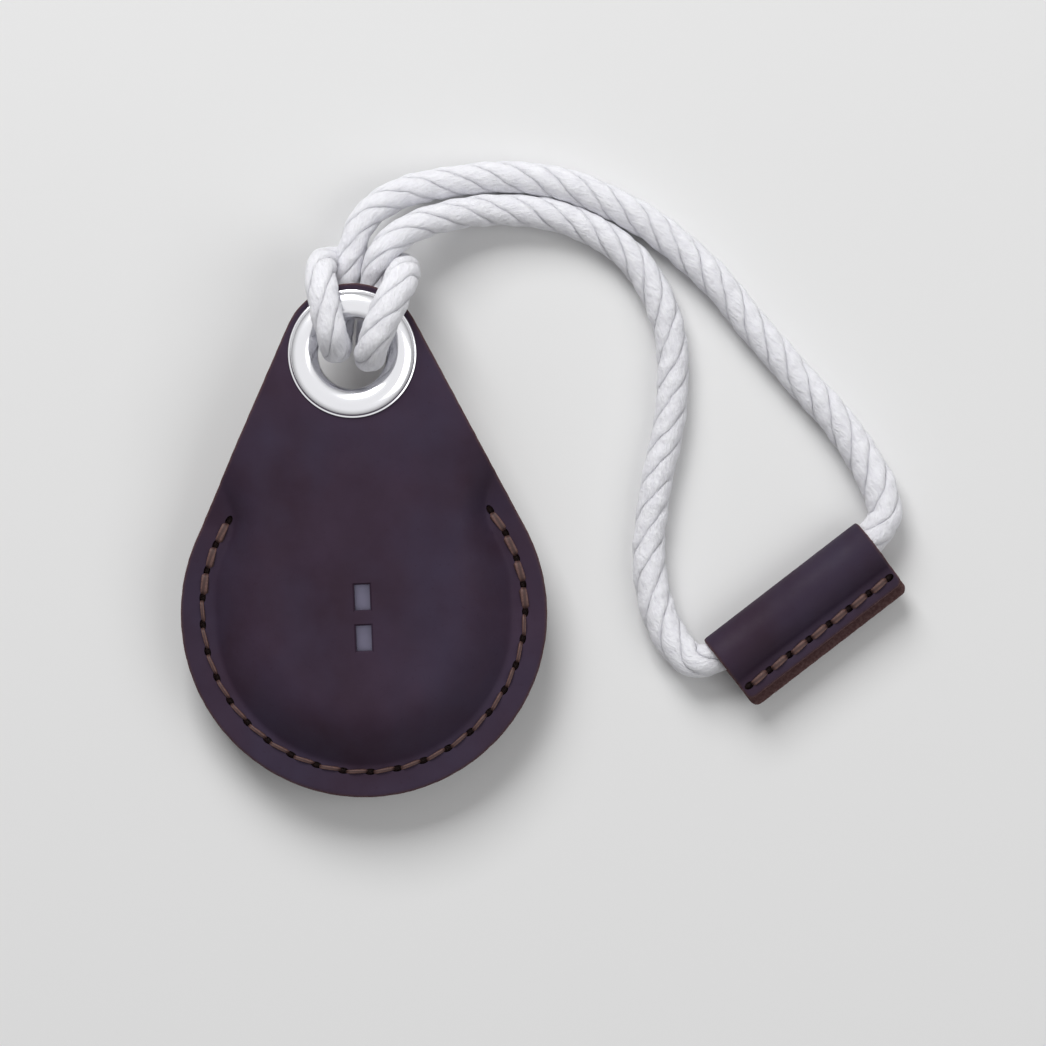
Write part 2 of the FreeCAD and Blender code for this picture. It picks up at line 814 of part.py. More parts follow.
def knot_counts(poles):
    """Count the knots of a clamped cubic with the given number of poles."""
    return [CUBIC + 1, *[1] * (poles - CUBIC - 1), CUBIC + 1]


def moulded_sheet(height):
    """Make a leather sheet whose outer face follows a height function."""
    half = float(S.pouch_radius) + overrun
    start = float(round_end_y) - half
    end = float(eyelet_y + S.tip_radius) + overrun
    grid = []
    for i in range(GRID_ACROSS):
        x = -half + 2 * half * i / (GRID_ACROSS - 1)
        line = []
        for j in range(GRID_ALONG):
            y = start + (end - start) * j / (GRID_ALONG - 1)
            line.append(Vector(x, y, height(x, y)))
        grid.append(line)
    surface = Part.BSplineSurface()
    surface.buildFromPolesMultsKnots(
        grid, *(knot_counts(n) for n in (GRID_ACROSS, GRID_ALONG)),
        list(range(GRID_ACROSS - CUBIC + 1)), list(range(GRID_ALONG - CUBIC + 1)),
        False, False, CUBIC, CUBIC)
    return surface.toShape().extrude(UP * -float(S.leather))


def half_space(y, side_sign):
    """Make a box on one side of a plane across the holder."""
    span = float(outline_length)
    base = y if side_sign > 0 else y - span
    return Part.makeBox(span * 2, span, span * 2, Vector(-span, base, -span))


stitch_holes = [
    Part.makeCylinder(hole_radius, hole_height, Vector(point.x, point.y, 0), UP)
    for point in seam_row
]
prism = outline_prism()
eyelet_hole = Part.makeCylinder(float(barrel + S.eyelet_fit), hole_height * 2,
                                Vector(0, float(eyelet_y), 0), UP)
slots = []
for way in (-1, 1):
    corner = Vector(-float(S.slot_width) / 2,
                    float(tag_y) + way * float(S.slot_pitch) / 2 - float(S.slot_length) / 2,
                    float(tag_top))
    slots.append(Part.makeBox(float(S.slot_width), float(S.slot_length), hole_height, corner))

leather_front = moulded_sheet(front_top).common(prism)
leather_front = leather_front.cut([*stitch_holes, *slots, eyelet_hole])
fold = float(fold_y)
fold_half = float(S.fold_gap) / 2
keep_shape("front_panel", leather_front.common(half_space(fold - fold_half, -1)))
keep_shape("tongue", leather_front.common(half_space(fold + fold_half, 1)))

leather_back = moulded_sheet(back_top).common(prism)
leather_back = leather_back.cut([*stitch_holes, half_space(float(mouth_y), 1)])
keep_shape("back_pocket", leather_back)

# Checks and files
doc.recompute()
for obj in doc.Objects:
    if "Invalid" in obj.State or "Error" in obj.State:
        raise RuntimeError(f"{obj.Name} failed: {obj.State}")
os.makedirs("parts", exist_ok=True)
for node in nodes:
    check_volume(node.Label, node.Shape)
    node.Shape.exportStep(f"parts/{node.Label}.step")
    box = node.Shape.BoundBox
    print(f"{node.Label}: {node.Shape.Volume:.1f} mm3, {len(node.Shape.Solids)} solids, "
          f"z {box.ZMin:.2f} to {box.ZMax:.2f}")
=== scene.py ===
import logging
import math
from dataclasses import dataclass, field
from enum import Enum
from typing import Callable

import bpy
import numpy as np
from mathutils import Matrix, Vector


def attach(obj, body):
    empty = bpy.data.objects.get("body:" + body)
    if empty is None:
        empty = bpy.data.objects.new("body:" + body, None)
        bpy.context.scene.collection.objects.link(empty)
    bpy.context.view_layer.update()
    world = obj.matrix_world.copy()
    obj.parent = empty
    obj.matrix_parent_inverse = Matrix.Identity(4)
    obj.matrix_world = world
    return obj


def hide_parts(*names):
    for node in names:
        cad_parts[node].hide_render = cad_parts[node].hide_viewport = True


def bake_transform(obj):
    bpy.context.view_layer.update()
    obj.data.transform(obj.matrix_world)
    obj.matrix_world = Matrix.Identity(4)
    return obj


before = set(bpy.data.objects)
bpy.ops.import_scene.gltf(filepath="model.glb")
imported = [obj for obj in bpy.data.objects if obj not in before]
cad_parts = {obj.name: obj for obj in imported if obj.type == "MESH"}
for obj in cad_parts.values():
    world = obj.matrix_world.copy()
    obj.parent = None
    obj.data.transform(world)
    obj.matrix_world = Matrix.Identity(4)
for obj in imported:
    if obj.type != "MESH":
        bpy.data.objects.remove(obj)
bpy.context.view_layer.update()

log = logging.getLogger("tag_holder")

MM = 0.001
MERGE = 1e-6
Points = np.ndarray
Colour = tuple[float, float, float]
Socket = bpy.types.NodeSocket
Place = Callable[[Points, Points], Points]
Lay = Callable[[Points, Points, Points], Points]


class Side(Enum):
    """Which face of a leather sheet shows its smooth grain."""

    UP = "up"
    DOWN = "down"


class Body(Enum):
    """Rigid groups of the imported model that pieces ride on."""

    POUCH = "pouch"
    FLAP = "flap"
    HITCH = "hitch"
    LOOP = "loop"


# Modelling helpers


def deselect_all() -> None:
    """Clear the selection before an operator runs."""
    bpy.ops.object.select_all(action="DESELECT")


def make_active(piece: bpy.types.Object) -> None:
    """Select one piece alone and make it the active one."""
    deselect_all()
    piece.select_set(True)
    bpy.context.view_layer.objects.active = piece


def clean_mesh(piece: bpy.types.Object) -> None:
    """Merge doubled points and turn all faces outwards."""
    make_active(piece)
    bpy.ops.object.mode_set(mode="EDIT")
    bpy.ops.mesh.select_all(action="SELECT")
    bpy.ops.mesh.remove_doubles(threshold=MERGE)
    bpy.ops.mesh.normals_make_consistent(inside=False)
    bpy.ops.object.mode_set(mode="OBJECT")


def loft(name: str, columns: int, rows: int, place: Place,
         tags: dict[str, Place] | None = None) -> bpy.types.Object:
    """Wrap a grid round a form and close its seam and poles.

    Args:
        name: Name of the new piece.
        columns: Faces round the form.
        rows: Faces along the form.
        place: Gives the place in metres for grid shares u (columns) and v (rows).
        tags: Point attributes, each worked out from the same shares.

    Returns:
        The finished mesh object, at the origin.
    """
    deselect_all()
    bpy.ops.mesh.primitive_grid_add(x_subdivisions=columns, y_subdivisions=rows, size=1.0)
    piece = bpy.context.object
    piece.name = name
    piece.data.name = name
    flat = np.empty(len(piece.data.vertices) * 3)
    piece.data.vertices.foreach_get("co", flat)
    u = flat[0::3] + 0.5
    v = flat[1::3] + 0.5
    for tag, value in (tags or {}).items():
        attribute = piece.data.attributes.new(tag, "FLOAT", "POINT")
        attribute.data.foreach_set("value", np.broadcast_to(value(u, v), u.shape).astype(np.float32))
    piece.data.vertices.foreach_set("co", place(u, v).ravel())
    clean_mesh(piece)
    return piece


def smooth_shade(piece: bpy.types.Object, angle: float = 40.0) -> None:
    """Shade a piece smooth up to an angle between faces, in degrees."""
    make_active(piece)
    bpy.ops.object.shade_smooth_by_angle(angle=math.radians(angle))


def apply_modifier(piece: bpy.types.Object, kind: str, **settings: object) -> None:
    """Add a modifier with the given settings and apply it at once.

    Args:
        piece: The piece to change.
        kind: Blender's modifier type.
        settings: Values for the modifier's own properties.
    """
    make_active(piece)
    modifier = piece.modifiers.new(kind.lower(), kind)
    for key, value in settings.items():
        setattr(modifier, key, value)
    bpy.ops.object.modifier_apply(modifier=modifier.name)


def join_pieces(name: str, pieces: list[bpy.types.Object]) -> bpy.types.Object:
    """Join pieces into one mesh under a new name.

    Args:
        name: Name of the joined piece.
        pieces: Mesh objects to join.

    Returns:
        The joined object.
    """
    deselect_all()
    for piece in pieces:
        piece.select_set(True)
    bpy.context.view_layer.objects.active = pieces[0]
    if len(pieces) > 1:
        bpy.ops.object.join()
    joined = bpy.context.view_layer.objects.active
    joined.name = name
    joined.data.name = name
    return joined


def copy_at(master: bpy.types.Object, matrix: Matrix) -> bpy.types.Object:
    """Copy a piece with its own mesh, moved by a matrix.

    Args:
        master: The piece to copy.
        matrix: Move and turn that is applied to the copied mesh.

    Returns:
        The new object, at the origin.
    """
    twin = master.copy()
    twin.data = master.data.copy()
    twin.data.transform(matrix)
    bpy.context.collection.objects.link(twin)
    return twin


def discard(piece: bpy.types.Object) -> None:
    """Remove a helper piece and its mesh."""
    mesh = piece.data
    bpy.data.objects.remove(piece)
    bpy.data.meshes.remove(mesh)


def cut_away(piece: bpy.types.Object, cutter: bpy.types.Object) -> None:
    """Cut one closed piece out of another and drop the cutter."""
    apply_modifier(piece, "BOOLEAN", operation="DIFFERENCE", object=cutter, solver="EXACT")
    discard(cutter)


def wear(piece: bpy.types.Object, material: bpy.types.Material) -> None:
    """Give a new piece its one material."""
    piece.data.materials.clear()
    piece.data.materials.append(material)


def ease(share: Points) -> Points:
    """Ease from 0 to 1 over the range 0 to 1."""
    share = np.clip(share, 0.0, 1.0)
    return share * share * (3 - 2 * share)


def resample(line: Points, count: int) -> Points:
    """Spread points evenly along a polyline.

    Args:
        line: Points of the polyline, one a row, with any further values after its places.
        count: How many points to return.

    Returns:
        The evenly spaced points, ends included.
    """
    steps = np.linalg.norm(np.diff(line[:, :3], axis=0), axis=1)
    travel = np.concatenate([[0.0], np.cumsum(steps)])
    marks = np.linspace(0.0, travel[-1], count)
    return np.stack([np.interp(marks, travel, line[:, k]) for k in range(line.shape[1])], axis=1)


# Finishes


class Wiring:
    """A material's node tree, with short calls to add nodes and join them."""

    def __init__(self, name: str) -> None:
        self.material = bpy.data.materials.new(name)
        self.material.use_nodes = True
        self.tree = self.material.node_tree
        self.tree.nodes.clear()
        out = self.add("ShaderNodeOutputMaterial")
        self.shader = self.add("ShaderNodeBsdfPrincipled")
        self.join(self.shader.outputs["BSDF"], out.inputs["Surface"])

    def add(self, kind: str, **values: object) -> bpy.types.Node:
        """Add a node and set its properties.

        Args:
            kind: Blender's node type.
            values: Properties of the node itself.

        Returns:
            The new node.
        """
        node = self.tree.nodes.new(kind)
        for key, value in values.items():
            setattr(node, key, value)
        return node

    def join(self, source: Socket, target: Socket) -> None:
        """Link two sockets."""
        self.tree.links.new(source, target)

    def place(self, output: str = "Object") -> Socket:
        """Give a socket of the piece's own coordinates."""
        return self.add("ShaderNodeTexCoord").outputs[output]

    def stretch(self, source: Socket,
                scale: tuple[float, float, float],
                shift: tuple[float, float, float] = (0.0, 0.0, 0.0)) -> Socket:
        """Scale and shift coordinates.

        Args:
            source: Coordinates to change.
            scale: Factor for each axis.
            shift: Move for each axis, after the scale.

        Returns:
            The changed coordinates.
        """
        node = self.add("ShaderNodeMapping")
        node.inputs["Scale"].default_value = scale
        node.inputs["Location"].default_value = shift
        self.join(source, node.inputs["Vector"])
        return node.outputs["Vector"]

    def noise(self, source: Socket, scale: float, detail: float = 3.0,
              rough: float = 0.55) -> Socket:
        """Add a noise pattern and give its value socket.

        Args:
            source: Coordinates it reads.
            scale: Size of the pattern, larger is finer.
            detail: Octaves.
            rough: Weight of the finer octaves.

        Returns:
            The noise value, about 0 to 1.
        """
        node = self.add("ShaderNodeTexNoise")
        node.inputs["Scale"].default_value = scale
        node.inputs["Detail"].default_value = detail
        node.inputs["Roughness"].default_value = rough
        self.join(source, node.inputs["Vector"])
        return node.outputs["Fac"]

    def cells(self, source: Socket, scale: float) -> Socket:
        """Add a cell pattern and give its distance socket."""
        node = self.add("ShaderNodeTexVoronoi", feature="SMOOTH_F1")
        node.inputs["Scale"].default_value = scale
        self.join(source, node.inputs["Vector"])
        return node.outputs["Distance"]

    def spread(self, source: Socket, low: float, high: float,
               to_low: float = 0.0, to_high: float = 1.0) -> Socket:
        """Map a range of values to another.

        Args:
            source: Value to map.
            low: Start of the range it comes from.
            high: End of that range.
            to_low: Start of the range it goes to.
            to_high: End of that range.

        Returns:
            The mapped value.
        """
        node = self.add("ShaderNodeMapRange")
        for key, value in (("From Min", low), ("From Max", high),
                           ("To Min", to_low), ("To Max", to_high)):
            node.inputs[key].default_value = value
        self.join(source, node.inputs["Value"])
        return node.outputs["Result"]

    def tag(self, name: str) -> Socket:
        """Give the value of a point attribute."""
        return self.add("ShaderNodeAttribute", attribute_name=name).outputs["Fac"]

    def math(self, operation: str, first: Socket | float, second: Socket | float) -> Socket:
        """Combine two values, each a socket or a number.

        Args:
            operation: Blender's math operation.
            first: First value.
            second: Second value.

        Returns:
            The result.
        """
        node = self.add("ShaderNodeMath", operation=operation)
        for slot, value in zip(node.inputs, (first, second)):
            if isinstance(value, (int, float)):
                slot.default_value = value
            else:
                self.join(value, slot)
        return node.outputs["Value"]

    def mix(self, share: Socket, first: Socket | Colour, second: Socket | Colour) -> Socket:
        """Mix two colours, each a socket or an RGB triple.

        Args:
            share: How much of the second colour.
            first: First colour.
            second: Second colour.

        Returns:
            The mixed colour.
        """
        node = self.add("ShaderNodeMix", data_type="RGBA")
        self.join(share, node.inputs[0])
        for slot, value in ((node.inputs[6], first), (node.inputs[7], second)):
            if isinstance(value, tuple):
                slot.default_value = (*value, 1.0)
            else:
                self.join(value, slot)
        return node.outputs[2]

    def bump(self, height: Socket, strength: float, depth: float,
             under: Socket | None = None) -> Socket:
        """Add a bump and give its normal socket.

        Args:
            height: Height pattern.
            strength: Strength of the effect.
            depth: Depth in metres of a height of 1.
            under: A coarser bump that this one lies on.

        Returns:
            The bumped normal.
        """
        node = self.add("ShaderNodeBump")
        node.inputs["Strength"].default_value = strength
        node.inputs["Distance"].default_value = depth
        self.join(height, node.inputs["Height"])
        if under is not None:
            self.join(under, node.inputs["Normal"])
        return node.outputs["Normal"]

    def set(self, **values: Socket | Colour | float) -> None:
        """Set or link the shader's sockets, with underscores for spaces."""
        for key, value in values.items():
            slot = self.shader.inputs[key.replace("_", " ")]
            if isinstance(value, Socket):
                self.join(value, slot)
            elif isinstance(value, tuple):
                slot.default_value = (*value, 1.0)
            else:
                slot.default_value = value


@dataclass(frozen=True)
class WaxedLeather:
    """Dark plum leather with a waxy bloom, brown suede underside and raw edges."""

    deep: Colour = (0.026, 0.013, 0.0245)
    plum: Colour = (0.040, 0.0235, 0.0435)
    bloom: Colour = (0.036, 0.0262, 0.050)
    suede: Colour = (0.082, 0.041, 0.042)
    fibre: Colour = (0.140, 0.082, 0.080)

    def material(self) -> bpy.types.Material:
        """Build the leather material."""
        w = Wiring("waxed_leather")
        at = w.place()
        patches = w.spread(w.noise(at, 70.0, 4.0), 0.35, 0.68)
        drift = w.stretch(at, (1.0, 0.7, 1.0), (0.43, 0.17, 0.0))
        clouds = w.spread(w.noise(drift, 85.0, 3.0), 0.42, 0.82)
        grain_side = w.mix(clouds, w.mix(patches, self.deep, self.plum), self.bloom)
        specks = w.spread(w.noise(at, 1900.0, 2.0), 0.64, 0.74, 0.0, 0.35)
        grain_side = w.mix(specks, grain_side, self.deep)
        nap = w.noise(at, 2400.0, 4.0, 0.65)
        raw_side = w.mix(w.spread(nap, 0.4, 0.7), self.suede, self.fibre)
        raw = w.tag("raw")
        w.set(Base_Color=w.mix(raw, grain_side, raw_side))
        polish = w.spread(w.noise(at, 240.0, 3.0), 0.3, 0.7, 0.54, 0.70)
        w.set(Roughness=w.math("ADD", polish, w.math("MULTIPLY", raw, 0.4)))
        w.set(Specular_IOR_Level=0.14)
        pores = w.bump(w.cells(at, 2600.0), 0.10, 0.00006)
        creases = w.bump(w.noise(at, 520.0, 5.0), 0.22, 0.00012, pores)
        w.set(Normal=w.bump(w.math("MULTIPLY", nap, raw), 0.45, 0.00015, creases))
        return w.material


@dataclass(frozen=True)
class CottonRope:
    """Soft white cotton with fine fibres, and painted shade in the grooves between strands."""

    pale: Colour = (0.92, 0.92, 0.97)
    warm: Colour = (0.83, 0.825, 0.875)
    # Grey for the painted shade in the grooves between strands.
    shade: Colour = (0.50, 0.48, 0.53)
    length: float = 313.0
    girth: float = 13.2
    lay_length: float = 17.2
    slip: float = 0.85
    glow: float = 0.0011

    def material(self) -> bpy.types.Material:
        """Build the rope material, whose UV map runs round and along its strands."""
        w = Wiring("cotton_rope")
        parts = w.add("ShaderNodeSeparateXYZ")
        w.join(w.place("UV"), parts.inputs["Vector"])
        turns = w.math("MULTIPLY", parts.outputs["Y"], self.length / self.lay_length * self.slip)
        run = w.add("ShaderNodeCombineXYZ")
        w.join(w.math("MULTIPLY", w.math("ADD", parts.outputs["X"], turns), self.girth), run.inputs["X"])
        w.join(w.math("MULTIPLY", parts.outputs["Y"], self.length), run.inputs["Y"])
        yarn = w.noise(w.stretch(run.outputs["Vector"], (3.2, 0.5, 1.0)), 1.0, 4.0, 0.65)
        fuzz = w.noise(w.place(), 2600.0, 3.0, 0.7)
        tone = w.mix(w.spread(yarn, 0.34, 0.62), self.warm, self.pale)
        tone = w.mix(w.spread(fuzz, 0.62, 0.8, 0.0, 0.35), tone, self.warm)
        # Painted shade: the grooves between strands are darkened towards the shade grey, broken up by
        # noise.
        groove = w.spread(w.tag("groove"), 0.5, 1.0, 0.0, 0.42)
        groove_shade_breakup = w.spread(w.noise(w.place(), 700.0, 2.0), 0.42, 0.62, 0.0, 1.0)
        w.set(Base_Color=w.mix(w.math("MULTIPLY", groove, groove_shade_breakup), tone, self.shade))
        w.set(Roughness=0.92, Specular_IOR_Level=0.2, Sheen_Weight=0.2, Sheen_Roughness=0.5)
        w.set(Subsurface_Weight=0.35, Subsurface_Scale=self.glow)
        w.shader.inputs["Subsurface Radius"].default_value = (1.0, 1.0, 1.0)
        lint = w.noise(w.stretch(run.outputs["Vector"], (9.0, 2.2, 1.0)), 1.0, 3.0, 0.7)
        lumps = w.bump(w.noise(w.place(), 1100.0, 2.0), 0.8, 0.00022)
        strands = w.bump(yarn, 1.0, 0.00034, lumps)
        fibres = w.bump(lint, 0.8, 0.00016, strands)
        w.set(Normal=w.bump(fuzz, 0.7, 0.00014, fibres))
        return w.material


@dataclass(frozen=True)
class WaxedThread:
    """Brown waxed thread, lighter along the crests of its plies as a painted highlight."""

    brown: Colour = (0.046, 0.021, 0.019)
    # Lighter brown for the painted highlight on the ply crests.
    light: Colour = (0.132, 0.067, 0.057)

    def material(self) -> bpy.types.Material:
        """Build the thread material, with a painted highlight along the crests of its plies."""
        w = Wiring("waxed_thread")
        flecks = w.noise(w.place(), 3200.0, 3.0, 0.7)
        # Painted highlight: the ply crests are lightened, flecked by noise.
        crest = w.spread(w.tag("ply"), 0.15, 0.85)
        crest_highlight = w.math("MULTIPLY", crest, w.spread(flecks, 0.36, 0.62, 0.35, 1.0))
        w.set(Base_Color=w.mix(crest_highlight, self.brown, self.light))
        w.set(Roughness=0.62, Specular_IOR_Level=0.4)
        w.set(Normal=w.bump(flecks, 0.4, 0.00008))
        return w.material


@dataclass(frozen=True)
class PolishedMetal:
    """Bright plated metal with faint handling marks."""

    name: str = "polished_plate"
    tone: Colour = (0.80, 0.80, 0.83)
    rough: tuple[float, float] = (0.10, 0.2)

    def material(self) -> bpy.types.Material:
        """Build the metal material."""
        w = Wiring(self.name)
        at = w.place()
        marks = w.noise(at, 420.0, 5.0, 0.6)
        haze = w.noise(at, 130.0, 2.0)
        w.set(Base_Color=self.tone, Metallic=1.0)
        w.set(Roughness=w.spread(haze, 0.3, 0.7, *self.rough))
        w.set(Normal=w.bump(marks, 0.05, 0.00005))
        return w.material


@dataclass(frozen=True)
class TurnedSteel:
    """Satin steel with fine rings round the tag's axis, by default in a dark bluish tone that is painted
    shade.
    """

    name: str = "cover_steel_painted_shade"
    # Dark bluish default tone: painted shade for the cover as it shows through the front's slots.
    tone: Colour = (0.135, 0.127, 0.178)
    rough: tuple[float, float] = (0.35, 0.37)
    ring_scale: float = 9000.0
    axis_y: float = -10.0

    def material(self) -> bpy.types.Material:
        """Build the steel material."""
        w = Wiring(self.name)
        at = w.stretch(w.place(), (1.0, 1.0, 0.0), (0.0, -self.axis_y * MM, 0.0))
        reach = w.add("ShaderNodeVectorMath", operation="LENGTH")
        w.join(at, reach.inputs[0])
        rings = w.add("ShaderNodeTexNoise", noise_dimensions="1D")
        rings.inputs["Scale"].default_value = self.ring_scale
        rings.inputs["Detail"].default_value = 2.0
        w.join(reach.outputs["Value"], rings.inputs["W"])
        haze = w.noise(w.place(), 1800.0, 2.0)
        w.set(Base_Color=self.tone, Metallic=1.0)
        w.set(Roughness=w.spread(haze, 0.3, 0.7, *self.rough))
        w.set(Normal=w.bump(rings.outputs["Fac"], 0.12, 0.00003))
        return w.material


@dataclass(frozen=True)
class Moulding:
    """Moulded plastic, rubber or board with a fine surface texture."""

    name: str
    tone: Colour
    shade: Colour
    rough: tuple[float, float]
    grain: float = 900.0
    relief: float = 0.08
    metallic: float = 0.0

    def material(self) -> bpy.types.Material:
        """Build the moulded material."""
        w = Wiring(self.name)
        at = w.place()
        mottle = w.noise(at, 160.0, 3.0)
        texture = w.noise(at, self.grain, 3.0)
        w.set(Base_Color=w.mix(w.spread(mottle, 0.35, 0.7), self.tone, self.shade))
        w.set(Metallic=self.metallic)
        w.set(Roughness=w.spread(texture, 0.3, 0.7, *self.rough))
        w.set(Normal=w.bump(texture, self.relief, 0.00005))
        return w.material


Finish = PolishedMetal | TurnedSteel | Moulding


# Leather sheets


@dataclass
class LeatherSheet:
    """A sheet of leather cut to an outline, with rounded cut edges."""

    name: str
    outline: Points
    centre: tuple[float, float]
    lay: Lay
    grain: Side
    thickness: float = 1.6
    columns: int = 448
    rings: int = 72
    wobble: float = 0.025
    waves: tuple[tuple[int, float], ...] = ((37, 1.0), (61, 2.3), (97, 0.0))
    border: float = 0.75
    grain_share: float = 0.12
    edge: tuple[tuple[float, float], ...] = (
        (0.46, 0.0), (0.20, 0.03), (0.06, 0.12), (0.0, 0.30),
        (0.0, 0.70), (0.06, 0.88), (0.20, 0.97), (0.46, 1.0),
    )

    def build(self) -> bpy.types.Object:
        """Loft both faces and the cut edge as one closed sheet.

        Returns:
            The sheet, with a raw attribute on its suede side and cut edge.
        """
        line = resample(np.vstack([self.outline, self.outline[:1]]), self.columns + 1)
        ring = line[:-1]
        along = np.roll(ring, -1, axis=0) - np.roll(ring, 1, axis=0)
        along /= np.linalg.norm(along, axis=1)[:, None]
        normal = np.stack([along[:, 1], -along[:, 0]], axis=1)
        turn = np.arange(self.columns) * 2 * math.pi / self.columns
        ripple = sum(np.sin(turn * count + shift) for count, shift in self.waves)
        ring = ring + normal * (ripple * self.wobble / len(self.waves))[:, None]
        ring = np.vstack([ring, ring[:1]])
        normal = np.vstack([normal, normal[:1]])
        middle = np.array(self.centre)
        nearest = np.linalg.norm(ring - middle, axis=1).min()
        shares = np.linspace(0.0, 1.0 - self.border / nearest, self.rings)
        top = [(share, 0.0, 0.0) for share in shares]
        rim = [(1.0, inset, depth) for inset, depth in self.edge]
        under = [(share, 0.0, 1.0) for share in shares[::-1]]
        table = np.array(top + rim + under)
        last = len(table) - 1

        def place(u: Points, v: Points) -> Points:
            """Put a grid point on the sheet."""
            column = np.rint(u * self.columns).astype(int)
            share, inset, depth = table[np.rint(v * last).astype(int)].T
            flat = middle + (ring[column] - middle) * share[:, None] - normal[column] * inset[:, None]
            return self.lay(flat[:, 0], flat[:, 1], -depth * self.thickness) * MM

        def raw(u: Points, v: Points) -> Points:
            """Tell the suede side and the cut edge from the grain side."""
            depth = table[np.rint(v * last).astype(int)][:, 2]
            below = depth if self.grain is Side.UP else 1 - depth
            return np.clip(below / self.grain_share, 0, 1)

        return loft(self.name, self.columns, last, place, {"raw": raw})


@dataclass
class Punch:
    """Closed cutters for stitch holes, slots and the eyelet's hole."""

    bodies: list[bpy.types.Object] = field(default_factory=list)
    sides: int = 32

    def oval(self, centre: Points, along: Points, long: float, wide: float,
             low: float, high: float) -> None:
        """Add an upright oval cutter.

        Args:
            centre: Middle of the hole, in millimetres.
            along: Direction of its longer axis.
            long: Its longer size.
            wide: Its shorter size.
            low: Height of its lower end.
            high: Height of its upper end.
        """
        deselect_all()
        bpy.ops.mesh.primitive_cylinder_add(vertices=self.sides, radius=1.0, depth=1.0)
        cutter = bpy.context.object
        angle = math.atan2(along[1], along[0])
        size = Matrix.Diagonal((long / 2 * MM, wide / 2 * MM, (high - low) * MM, 1.0))
        spot = Vector((centre[0], centre[1], (low + high) / 2)) * MM
        cutter.data.transform(Matrix.Translation(spot) @ Matrix.Rotation(angle, 4, "Z") @ size)
        self.bodies.append(cutter)

    def slot(self, centre: Points, wide: float, long: float, low: float, high: float,
             flare: float = 0.36) -> None:
        """Add an upright cutter for a slot whose mouth is flared by its tool.

        Args:
            centre: Middle of the slot, in millimetres.
            wide: Its size along X.
            long: Its size along Y.
            low: Height of its lower end.
            high: Height where the flare begins.
            flare: How far the flare rises and widens.
        """
        deselect_all()
        bpy.ops.mesh.primitive_cube_add(size=1.0)
        cutter = bpy.context.object
        size = Matrix.Diagonal((wide * MM, long * MM, (high - low) * MM, 1.0))
        spot = Vector((centre[0], centre[1], (low + high) / 2)) * MM
        cutter.data.transform(Matrix.Translation(spot) @ size)
        make_active(cutter)
        bpy.ops.object.mode_set(mode="EDIT")
        bpy.ops.mesh.select_mode(type="FACE")
        bpy.ops.mesh.select_all(action="DESELECT")
        bpy.ops.object.mode_set(mode="OBJECT")
        for face in cutter.data.polygons:
            face.select = face.normal.z > 0.5
        bpy.ops.object.mode_set(mode="EDIT")
        bpy.ops.mesh.extrude_region_move(TRANSFORM_OT_translate={"value": (0.0, 0.0, flare * MM)})
        bpy.ops.transform.resize(value=(1 + 2 * flare / wide, 1 + 2 * flare / long, 1.0))
        bpy.ops.object.mode_set(mode="OBJECT")
        self.bodies.append(cutter)

    def cut(self, piece: bpy.types.Object) -> None:
        """Cut all the holes out of a piece."""
        cut_away(piece, join_pieces("punch", self.bodies))


